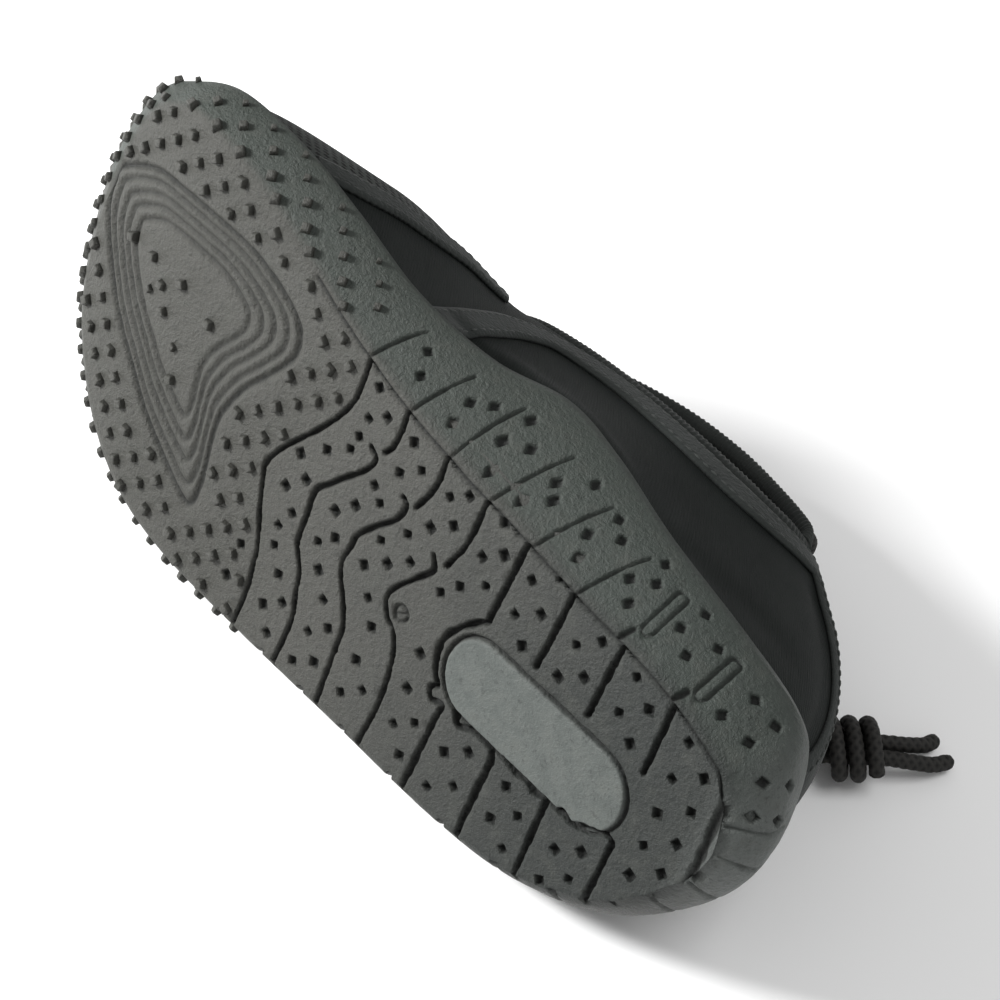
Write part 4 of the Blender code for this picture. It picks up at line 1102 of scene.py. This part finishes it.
def upper_base(u, v):
    """Outer face of the upper as it was made, in mm, before it creased."""
    u, v = np.broadcast_arrays(np.asarray(u, float) % 2, np.asarray(v, float))
    inside = CUP_WALL + CUP_EASE
    row = read_rows(FOOT, foot_place(u), True)
    start = (CUP_FLOOR + GAP) / (row[..., 2] * WALL_HEIGHT - lift(row[..., 0] * SOLE_LENGTH))
    in_cup = wall_point(u, start + (1 - start) * v / CUP_SHARE, inside)
    base = wall_point(u, np.ones_like(v), inside)
    share = np.where(u <= 1, u, 2 - u)
    beyond = (share - THROAT) / (1 - THROAT)
    last = len(TOPLINE) - 1
    place = np.where(u <= 1, TOPLINE_HEEL * beyond, last - (last - TOPLINE_HEEL) * beyond)
    over_foot = read_rows(CREST, np.minimum(VAMP_ROWS * share / THROAT, VAMP_ROWS))
    top = np.where((share <= THROAT)[..., None], over_foot, read_rows(TOPLINE, place.clip(0, last)))
    along, across, height, closure, roundness, hollow = np.moveaxis(top, -1, 0)
    full = np.minimum(closure, 1) * math.pi / 2
    angle = full * (v - CUP_SHARE).clip(0) / (1 - CUP_SHARE)
    rise = (np.sin(angle) / np.sin(full)) ** roundness
    run = (1 - np.cos(angle).clip(0) ** roundness) / (1 - np.cos(full).clip(0) ** roundness)
    run = run + hollow * rise * (1 - rise)
    x = base[..., 0] + (along * SOLE_LENGTH - base[..., 0]) * run
    y = base[..., 1] + (height * COLLAR_HEIGHT - base[..., 1]) * rise
    z = base[..., 2] + (across * BALL_WIDTH - base[..., 2]) * run
    point = np.stack([x, y, z], -1)
    clear = TRIM_CLEARANCE * ease(0, 1, (u - CLEAR_FROM) / CLEAR_FADE)
    over = point @ UPWARD - FLOOR_LEVEL - clear
    rest = np.maximum(over + PRESS_EASE, 0) ** 2 / (4 * PRESS_EASE)
    point = point + np.where(over > PRESS_EASE, 0, rest - over)[..., None] * UPWARD
    return np.where((v <= CUP_SHARE)[..., None], in_cup, point)


def slopes(u, v, step=0.004):
    """Directions along and up the upper per unit of u and v, and outward."""
    along = (upper_base(u + step, v) - upper_base(u - step, v)) / (2 * step)
    low, high = np.maximum(v - step, 0.0), np.minimum(v + step, 1.0)
    up = (upper_base(u, high) - upper_base(u, low)) / (high - low)[..., None]
    out = np.cross(along, up)
    return along, up, out / np.linalg.norm(out, axis=-1)[..., None]


def folds(u, v):
    """Soft creases and swells, in mm."""
    height = np.zeros(np.broadcast(u, v).shape)
    for a, b, c, d, half, size in FOLDS:
        run, rise = (c - a) * MM_ALONG, (d - b) * MM_UP
        x, y = (u - a) * MM_ALONG, (v - b) * MM_UP
        t = np.clip((x * run + y * rise) / (run * run + rise * rise), 0, 1)
        away = np.hypot(x - t * run, y - t * rise)
        height += size * np.exp(-(away / half) ** 2) * ease(CUP_SHARE, CUP_SHARE + 0.1, v)
    return height


def skin(u, v, above=0.0):
    """The upper's outer face with its creases, or a height above it."""
    out = slopes(u, np.minimum(v, NORMAL_TOP))[2]
    return upper_base(u, v) + out * (folds(u % 2, v) + above)[..., None]


def knit_neoprene():
    """Black jersey over neoprene, and the open mesh of the vamp, its holes painted near-black as the shade
    seen through them.
    """
    cloth = Finish("knit_neoprene", Roughness=0.8, Specular_IOR_Level=0.12, Sheen_Weight=0.02)
    sheet = cloth.node("ShaderNodeUVMap", {"uv_map": "sheet"})
    ways = cloth.node("ShaderNodeSeparateXYZ", None, {"Vector": sheet})
    along, up = (Value(cloth, ways.socket.node.outputs[axis]) for axis in "XY")
    mesh = cloth.painted("mesh")
    hole = (along.wave(MESH_PITCH[0]) * up.wave(MESH_PITCH[1])).step(0.0, 0.45)
    rib = up.wave(KNIT_PITCH[1]) * along.wave(KNIT_PITCH[0])
    place = cloth.place()
    wear = cloth.noise(place, 45.0, 4.0, 0.6)
    lint = cloth.noise(place, 1300.0, 3.0, 0.7)
    colour = cloth.mix(wear.step(0.3, 0.75), (0.004, 0.0058, 0.0051), (0.0085, 0.0108, 0.0097))
    colour = cloth.mix(lint.step(0.6, 0.8) * 0.4, colour, (0.03, 0.034, 0.032))
    # Painted shade: the mesh's holes are near-black, darker than the lining behind them.
    mesh_with_shaded_holes = cloth.mix(hole, (0.03, 0.034, 0.031), (0.0015, 0.0015, 0.0015))
    colour = cloth.mix(mesh, colour, mesh_with_shaded_holes)
    fine = cloth.bump(rib * (1.0 - mesh) * 0.5 + lint * 0.5, 0.00025, 0.6)
    return cloth.wire(Base_Color=colour, Normal=cloth.bump(hole * mesh * -1.0, 0.0011, 0.9, fine))


def lining_cloth():
    """The sock's smooth dark inside."""
    cloth = Finish("lining_cloth", Roughness=0.9, Specular_IOR_Level=0.15)
    knit = cloth.noise(cloth.place(), 2000.0, 2.0)
    return cloth.wire(Base_Color=cloth.mix(knit, (0.02, 0.022, 0.021), (0.045, 0.05, 0.048)),
                      Normal=cloth.bump(knit, 0.0002, 0.5))


def upper_piece():
    """The sock: a creased skin with a wall of even thickness inside it."""
    stations, rows = 300, 76
    u = 2 * np.arange(stations) / stations
    v = np.concatenate([np.linspace(0, CUP_SHARE, 8)[:-1], np.linspace(CUP_SHARE, 1, rows - 7)])
    uu, vv = np.meshgrid(u, v, indexing="ij")
    spots = skin(uu, vv)
    mirrored = spots[(-np.arange(stations)) % stations, -1]
    closed = (np.minimum(u, 2 - u) <= THROAT)[:, None]
    spots[:, -1] = np.where(closed, (spots[:, -1] + mirrored) / 2, spots[:, -1])
    steps = np.linalg.norm(np.diff(spots, axis=0, append=spots[:1]), axis=-1)
    half = stations // 2 + 1
    along = np.zeros_like(vv)
    along[1:half] = np.cumsum(steps[:half - 1], axis=0)
    along[half:] = -np.cumsum(steps[half:][::-1], axis=0)[::-1]
    arc = np.concatenate([np.zeros((stations, 1)),
                          np.cumsum(np.linalg.norm(np.diff(spots, axis=1), axis=-1), axis=1)], axis=1)
    trim = np.interp(vv, TRIM_ROUTE[:, 1], TRIM_ROUTE[:, 0])
    front = np.minimum(uu, 2 - uu)
    work = bmesh.new()
    sheet = work.loops.layers.uv.new("sheet")
    marks = work.verts.layers.float.new("mesh")
    corners = [[work.verts.new(laid(spots[i, k])) for k in range(len(v))] for i in range(stations)]
    for i in range(stations):
        j = (i + 1) % stations
        for k in range(len(v) - 1):
            made = work.faces.new((corners[i][k], corners[j][k], corners[j][k + 1], corners[i][k + 1]))
            for loop, (m, n) in zip(made.loops, ((i, k), (j, k), (j, k + 1), (i, k + 1))):
                loop[sheet].uv = (along[m, n], arc[m, n])
    for i in range(stations):
        for k in range(len(v)):
            corners[i][k][marks] = 1.0 if front[i, k] < trim[i, k] - 0.004 else 0.0
    bmesh.ops.remove_doubles(work, verts=work.verts[:], dist=WELD_DRESSED)
    holder = finished_mesh("upper_skin", work)
    holder.data.materials.append(knit_neoprene())
    holder.data.materials.append(lining_cloth())
    wall = holder.modifiers.new("wall", "SOLIDIFY")
    wall.thickness = UPPER_WALL * MM
    wall.offset = -1.0
    wall.material_offset = 1
    return applied("upper_shell", holder)


sock = upper_piece()
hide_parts("upper")
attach(sock, "shoe")

# Webbing bands glued and stitched over the seams: one along each side of the
# vamp, one round the collar, and a tape up the heel, with their stitches.
TRIM_GAP = 0.45
TRIM_THICKNESS = 0.9
TRIM_WIDTH = 8.0
COLLAR_BAND_WIDTH = 9.0
HEEL_TAPE_WIDTH = 15.0
BAND_STEPS = 260
BAND_TOP = 0.995
STITCH_PITCH = 2.9
STITCH_STEPS = 900
STITCH_MARGIN = 1.5
BAND_ROUTE = np.array((
    # u, v
    (0.553, 0.228), (0.557, 0.480), (0.563, 0.680), (0.582, 0.835), (0.630, 0.905), (0.700, 0.920),
    (0.800, 0.920), (0.920, 0.935), (1.000, 0.945), (1.080, 0.952), (1.200, 0.958), (1.300, 0.960),
    (1.375, 0.945), (1.422, 0.860), (1.438, 0.680), (1.443, 0.480), (1.447, 0.228),
))
TAPE_ROUTE = np.array((
    # u, v
    (1.000, 0.235), (1.000, 0.600), (1.000, 0.898),
))


def surface_step(along, up, move):
    """Turn a short move on the surface into steps of u and v."""
    a, b, c = ((p * q).sum(-1) for p, q in ((along, along), (along, up), (up, up)))
    p, q = (along * move).sum(-1), (up * move).sum(-1)
    det = a * c - b * b
    return (p * c - q * b) / det, (q * a - p * b) / det


def band_places(route, reach, steps=BAND_STEPS):
    """Places on the upper beside a route, reach in mm, and the way it runs."""
    line = read_rows(np.asarray(route), np.linspace(0, len(route) - 1, steps))
    u, v = line[:, 0], line[:, 1]
    spots = upper_base(u, v)
    way = np.gradient(spots, axis=0)
    along, up, out = slopes(u, v)
    across = np.cross(out, way)
    across /= np.linalg.norm(across, axis=1)[:, None]
    du, dv = surface_step(along, up, across * np.broadcast_to(reach, u.shape)[:, None])
    return (u + du) % 2, np.clip(v + dv, 0, BAND_TOP), way


def band(name, route, width, finish, wave=0.0):
    """A thin strip on the upper with rounded edges."""
    cells = np.linspace(-1, 1, 9)
    ripple = 1 + wave * np.sin(np.arange(BAND_STEPS) * 0.9)
    top, low = [], []
    for cell in cells:
        u, v = band_places(route, width / 2 * cell * ripple)[:2]
        crown = TRIM_THICKNESS * (1 - 0.55 * abs(cell) ** 6)
        top.append(skin(u, v, np.full(len(u), TRIM_GAP + crown)))
        low.append(skin(u, v, np.full(len(u), TRIM_GAP - 0.2)))
    rings = np.array(top + low[::-1]).transpose(1, 0, 2)
    return grid_piece(name, laid(rings), False, True, finish, caps=True)


def thread_finish():
    """Slightly lighter polyester thread."""
    thread = Finish("thread", Roughness=0.6, Specular_IOR_Level=0.25)
    tone = thread.noise(thread.place(), 300.0)
    return thread.wire(Base_Color=thread.mix(tone, (0.02, 0.023, 0.021), (0.05, 0.055, 0.051)))


def thread_shape():
    """One stitch: a short rounded thread along x."""
    work = bmesh.new()
    bmesh.ops.create_uvsphere(work, u_segments=8, v_segments=6, radius=1.0)
    for v in work.verts:
        v.co = (v.co.x * 1.05 * MM, v.co.y * 0.3 * MM, v.co.z * 0.28 * MM)
    return work


def stitches(name, runs):
    """Rows of stitches: route, distance from its middle, height above."""
    spots, outs, ways = [], [], []
    for route, reach, above in runs:
        u, v = band_places(route, reach, STITCH_STEPS)[:2]
        line = skin(u, v, np.full(len(u), above))
        run = run_along(line)
        wanted = np.arange(STITCH_MARGIN, run[-1] - STITCH_MARGIN, STITCH_PITCH)
        picked = np.searchsorted(run, wanted).clip(0, len(u) - 1)
        spots.append(line[picked])
        outs.append(slopes(u[picked], v[picked])[2])
        ways.append(np.gradient(line, axis=0)[picked])
    spots, outs, ways = (np.concatenate(each) for each in (spots, outs, ways))
    ways = np.cross(outs, np.cross(ways, outs))
    made = scatter(name, laid(spots), laid_way(outs), laid_way(ways), np.ones_like(spots),
                   thread_shape(), THREAD)
    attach(made, "shoe")


WEBBING = plain_cloth("woven_webbing", ((0.012, 0.014, 0.013), (0.028, 0.032, 0.03)), (90.0, 4.0), 1100.0,
                      0.0005, 0.7, Roughness=0.8, Specular_IOR_Level=0.2, Sheen_Weight=0.04)
THREAD = thread_finish()
outer_trim = np.stack([2 - TRIM_ROUTE[:, 0], TRIM_ROUTE[:, 1]], -1)
on_top = TRIM_GAP + TRIM_THICKNESS - 0.12
for name, route, width, wave in (
    ("vamp_trim_inner", TRIM_ROUTE, TRIM_WIDTH, 0.03),
    ("vamp_trim_outer", outer_trim, TRIM_WIDTH, 0.03),
    ("collar_band", BAND_ROUTE, COLLAR_BAND_WIDTH, 0.0),
    ("heel_tape", TAPE_ROUTE, HEEL_TAPE_WIDTH, 0.0),
):
    strip = band(name + "_cloth", route, width, WEBBING, wave)
    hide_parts(name)
    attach(strip, "shoe")
stitches("vamp_stitches", [(route, reach, on_top)
                           for route in (TRIM_ROUTE, outer_trim) for reach in (-2.4, 2.4)])
stitches("collar_stitches", [(BAND_ROUTE, reach, on_top) for reach in (-3.0, 3.0)])
stitches("heel_stitches", [(TAPE_ROUTE, reach, on_top) for reach in (-5.8, 5.8)])

# The collar binding: a ribbed elastic tube sewn round the topline, which the
# cord runs inside of.
BINDING_WIDTH = 5.2
BINDING_THICKNESS = 3.6
BINDING_GAP = 0.6
RIB_PITCH = 1.5


def softened(ways, times):
    """Directions round a loop, evened out with their neighbours."""
    for again in range(times):
        ways = (ways + np.roll(ways, 1, axis=0) + np.roll(ways, -1, axis=0)) / 3
    return ways


def binding_piece():
    """An oval tube round the topline with fine ribs across it."""
    rings, sides = 1400, 14
    u = np.linspace(THROAT, 2 - THROAT, rings, endpoint=False)
    one = np.ones_like(u)
    edge = upper_base(u, one)
    way = softened(np.roll(edge, -1, axis=0) - np.roll(edge, 1, axis=0), 20)
    way /= np.linalg.norm(way, axis=1)[:, None]
    out = softened(slopes(u, one)[2], 12)
    out -= way * (out * way).sum(1)[:, None]
    out /= np.linalg.norm(out, axis=1)[:, None]
    up = np.cross(out, way)
    run = np.cumsum(np.linalg.norm(np.diff(edge, axis=0, prepend=edge[:1]), axis=1))
    ribs = 0.13 * np.sin(2 * math.pi * run * round(run[-1] / RIB_PITCH) / run[-1])
    centre = edge + up * (BINDING_GAP + BINDING_WIDTH / 2) - out * UPPER_WALL / 2
    turns = 2 * math.pi * np.arange(sides) / sides
    tall = (BINDING_WIDTH / 2 - 0.1 + ribs)[:, None, None]
    thick = (BINDING_THICKNESS / 2 - 0.1 + ribs)[:, None, None]
    section = (centre[:, None] + up[:, None] * np.cos(turns)[None, :, None] * tall
               + out[:, None] * np.sin(turns)[None, :, None] * thick)
    elastic = plain_cloth("elastic_knit", ((0.012, 0.014, 0.013), (0.026, 0.029, 0.027)), (120.0,), 1500.0,
                          0.0003, 0.6, Roughness=0.8, Specular_IOR_Level=0.2, Sheen_Weight=0.04)
    return grid_piece("binding_elastic", laid(section), True, True, elastic)


collar = binding_piece()
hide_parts("collar_binding")
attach(collar, "shoe")

# The cord lock: a moulded barrel with a spring button in it. Both are turned
# about the bore.
LOCK_PLACE = np.array((47.0, 44.0, 7.7))
LOCK_AXIS = Vector((-1, 0, 0))
BARREL_RADIUS = 7.5
BARREL_LENGTH = 15.0
BUTTON_RADIUS = 4.0
BORE_RADIUS = 4.35
BORE_FLOOR = -1.35
BARREL_HALF = BARREL_LENGTH / 2
ROUND_SIDES = 48


def turned(name, profile, finish):
    """A round piece from (radius, height) rows about the lock's axis."""
    rows = np.array(profile, float)
    turns = 2 * math.pi * np.arange(ROUND_SIDES) / ROUND_SIDES
    ring = np.stack([np.cos(turns), np.sin(turns)], -1)
    heights = np.broadcast_to(rows[:, None, 1:], (len(rows), ROUND_SIDES, 1))
    points = np.concatenate([rows[:, None, :1] * ring, heights], -1)
    axes = np.array(LOCK_AXIS.to_track_quat("Z", "Y").to_matrix())
    return grid_piece(name, (points @ axes.T + LOCK_PLACE) * MM, False, True, finish, caps=True)


def moulded_plastic(name, dark, light, rough):
    """Moulded plastic with a fine spark-eroded grain."""
    plastic = Finish(name, Coat_Weight=0.05)
    place = plastic.place()
    wear = plastic.noise(place, 160.0, 4.0)
    grain = plastic.noise(place, 2500.0, 2.0)
    return plastic.wire(Base_Color=plastic.mix(wear, dark, light), Roughness=wear * 0.2 + rough,
                        Normal=plastic.bump(grain, 0.0001, 0.4))


def barrel_profile():
    """Outside from the closed end to the mouth, then down the bore."""
    heights = np.linspace(-BARREL_HALF, BARREL_HALF, 25)
    radii = np.sqrt(np.maximum(BARREL_RADIUS ** 2 - (0.75 * heights) ** 2, 0))
    radii -= 0.35 * np.exp(-((np.abs(heights) - 4.6) / 0.35) ** 2)
    shell = [(r - 0.6 * (abs(h) > 7.4), h) for r, h in zip(radii, heights)]
    mouth = [(BORE_RADIUS + 0.3, BARREL_HALF), (BORE_RADIUS, BARREL_HALF - 0.3)]
    bore = [(BORE_RADIUS, BORE_FLOOR), (0.01, BORE_FLOOR)]
    return [(0.01, -BARREL_HALF)] + shell + mouth + bore


BUTTON_PROFILE = (
    # radius, height
    (0.01, 1.5), (BUTTON_RADIUS, 1.5), (BUTTON_RADIUS, 11.5), (3.85, 12.0), (3.5, 12.35), (3.0, 12.5),
    (2.2, 12.4), (0.01, 12.3),
)
grey = moulded_plastic("lock_plastic", (0.03, 0.032, 0.031), (0.055, 0.058, 0.056), 0.32)
barrel = turned("cord_lock_body", barrel_profile(), grey)
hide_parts("cord_lock_barrel")
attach(barrel, "shoe")
black = moulded_plastic("button_plastic", (0.008, 0.008, 0.008), (0.018, 0.018, 0.018), 0.3)
button = turned("cord_lock_plunger", BUTTON_PROFILE, black)
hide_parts("cord_lock_button")
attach(button, "button")

# The cord: one braided elastic cord. Two strands come out of the binding, pass
# the lock and go on under the heel, where turns of the cord tie them together.
CORD_RADIUS = 1.9
CORD_SIDES = 24
CORD_STEP = 0.3
BRAID_PITCH = 4.2
BRAID_DEPTH = 0.13
DROP_FRONT = np.array((
    # x, y, z of the strand nearer the toe, from the binding to the lock
    (47.2, 52.1, 25.2), (47.9, 54.0, 22.3), (47.2, 54.2, 18.6), (45.9, 52.6, 15.4), (44.9, 49.9, 12.9),
))
DROP_BACK = np.array((
    # x, y, z of the strand nearer the heel
    (51.6, 50.6, 26.4), (52.2, 52.3, 23.6), (51.6, 52.9, 19.2), (50.2, 51.8, 15.6), (49.3, 49.9, 12.9),
))
TAIL = np.array((
    # x, y, z of one strand from the lock through the knot to its end,
    # apart: how far beside it the other strand runs
    (44.9, 36.7, 2.6, 4.4), (45.1, 31.0, 2.1, 4.3), (48.0, 23.8, 2.1, 4.2), (54.6, 17.8, 2.1, 4.2),
    (62.8, 14.4, 2.1, 4.2), (70.8, 12.6, 2.4, 4.2), (78.4, 13.2, 3.6, 4.2), (84.6, 16.7, 5.4, 4.2),
    (89.7, 21.5, 6.5, 4.2), (94.5, 26.6, 6.5, 4.2), (99.3, 31.7, 6.5, 4.2), (103.6, 36.2, 5.4, 4.6),
    (107.0, 41.0, 3.4, 5.6), (108.5, 46.0, 2.1, 6.6),
))
KNOT_CENTRE = np.array((93.0, 28.0, 6.6))
KNOT_WAY = np.array((0.68, 0.73, 0)) / math.hypot(0.68, 0.73)
KNOT_TURNS = 2.5
KNOT_PITCH = 4.3
KNOT_HALF_WIDTH = 6.5
KNOT_HALF_HEIGHT = 4.35


def braid():
    """Black braided sleeve, with painted shade in the gaps between its raised strands."""
    cloth = Finish("braided_sleeve", Roughness=0.7, Specular_IOR_Level=0.25)
    place = cloth.place()
    fibre = cloth.noise(place, 1800.0, 3.0)
    # Painted shade: the low gaps between the raised strands turn near-black.
    colour = cloth.mix(cloth.painted("strand"), (0.003, 0.003, 0.003), (0.024, 0.023, 0.021))
    return cloth.wire(Base_Color=colour, Normal=cloth.bump(fibre, 0.0002, 0.5))


BRAID = braid()


def even_line(route, step):
    """A smooth line of evenly spaced points along a route in mm."""
    fine = read_rows(np.asarray(route, float), np.linspace(0, len(route) - 1, 1200))
    run = run_along(fine)
    places = np.linspace(0, run[-1], max(int(run[-1] / step), 8) + 1)
    return np.stack([np.interp(places, run, fine[:, k]) for k in range(3)], -1), places


def cord_tube(name, route, round_end=False):
    """A tube round a line with the sleeve's crossing strands raised on it."""
    line, run = even_line(route, CORD_STEP)
    way = np.gradient(line, axis=0)
    way /= np.linalg.norm(way, axis=1)[:, None]
    side = np.empty_like(line)
    side[0] = np.cross(way[0], (0, 0, 1.0))
    for i in range(len(line)):
        last = side[max(i - 1, 0)]
        side[i] = last - way[i] * (last @ way[i])
        side[i] /= np.linalg.norm(side[i])
    up = np.cross(way, side)
    turns = 2 * math.pi * np.arange(CORD_SIDES) / CORD_SIDES
    twist = 2 * math.pi * run[:, None] / BRAID_PITCH
    raised = np.maximum(np.cos(4 * turns + 2 * twist), np.cos(4 * turns - 2 * twist))
    radius = CORD_RADIUS + BRAID_DEPTH * (raised - 1)
    if round_end:
        left = (run[-1] - run) / CORD_RADIUS
        radius = radius * np.sqrt(1 - np.clip(1 - left, 0, 0.96) ** 2)[:, None]
    rings = (line[:, None] + side[:, None] * (np.cos(turns) * radius)[..., None]
             + up[:, None] * (np.sin(turns) * radius)[..., None])
    tube = grid_piece(name, rings * MM, False, True, BRAID, caps=True)
    # The strands' height also paints shade into the sleeve's gaps.
    paint(tube, "strand", raised.ravel() * 0.5 + 0.5)
    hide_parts(name.replace("_sleeve", ""))
    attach(tube, "shoe")
    return tube, line * MM, run[-1] * MM


def beside(route):
    """The strand that runs on the left of a route, apart by its last value."""
    way = np.empty((len(route), 2))
    way[1:-1] = route[2:, :2] - route[:-2, :2]
    way[0], way[-1] = route[1, :2] - route[0, :2], route[-1, :2] - route[-2, :2]
    way /= np.hypot(way[:, 0], way[:, 1])[:, None]
    x, y, z, apart = route.T
    return np.stack([x - way[:, 1] * apart, y + way[:, 0] * apart, z], -1)


def knot_line():
    """Turns of the cord round the two strands."""
    share = np.linspace(0, 1, 31)[:, None]
    turn = 2 * math.pi * KNOT_TURNS * share
    side = np.array((-KNOT_WAY[1], KNOT_WAY[0], 0))
    upright = np.array((0, 0, 1.0))
    return (KNOT_CENTRE + KNOT_WAY * KNOT_PITCH * KNOT_TURNS * (share - 0.5)
            + side * np.cos(turn) * KNOT_HALF_WIDTH + upright * np.sin(turn) * KNOT_HALF_HEIGHT)


tail = read_rows(TAIL, np.linspace(0, len(TAIL) - 1, 25))
knot = cord_tube("cord_knot_sleeve", knot_line())[0]
cord_tube("cord_drop_front_sleeve", DROP_FRONT)
cord_tube("cord_drop_back_sleeve", DROP_BACK)
for name, route, extra in (
    ("cord_tail_outer_sleeve", tail[:, :3], [knot]),
    ("cord_tail_inner_sleeve", beside(tail), []),
):
    strand, path, length = cord_tube(name, route, True)
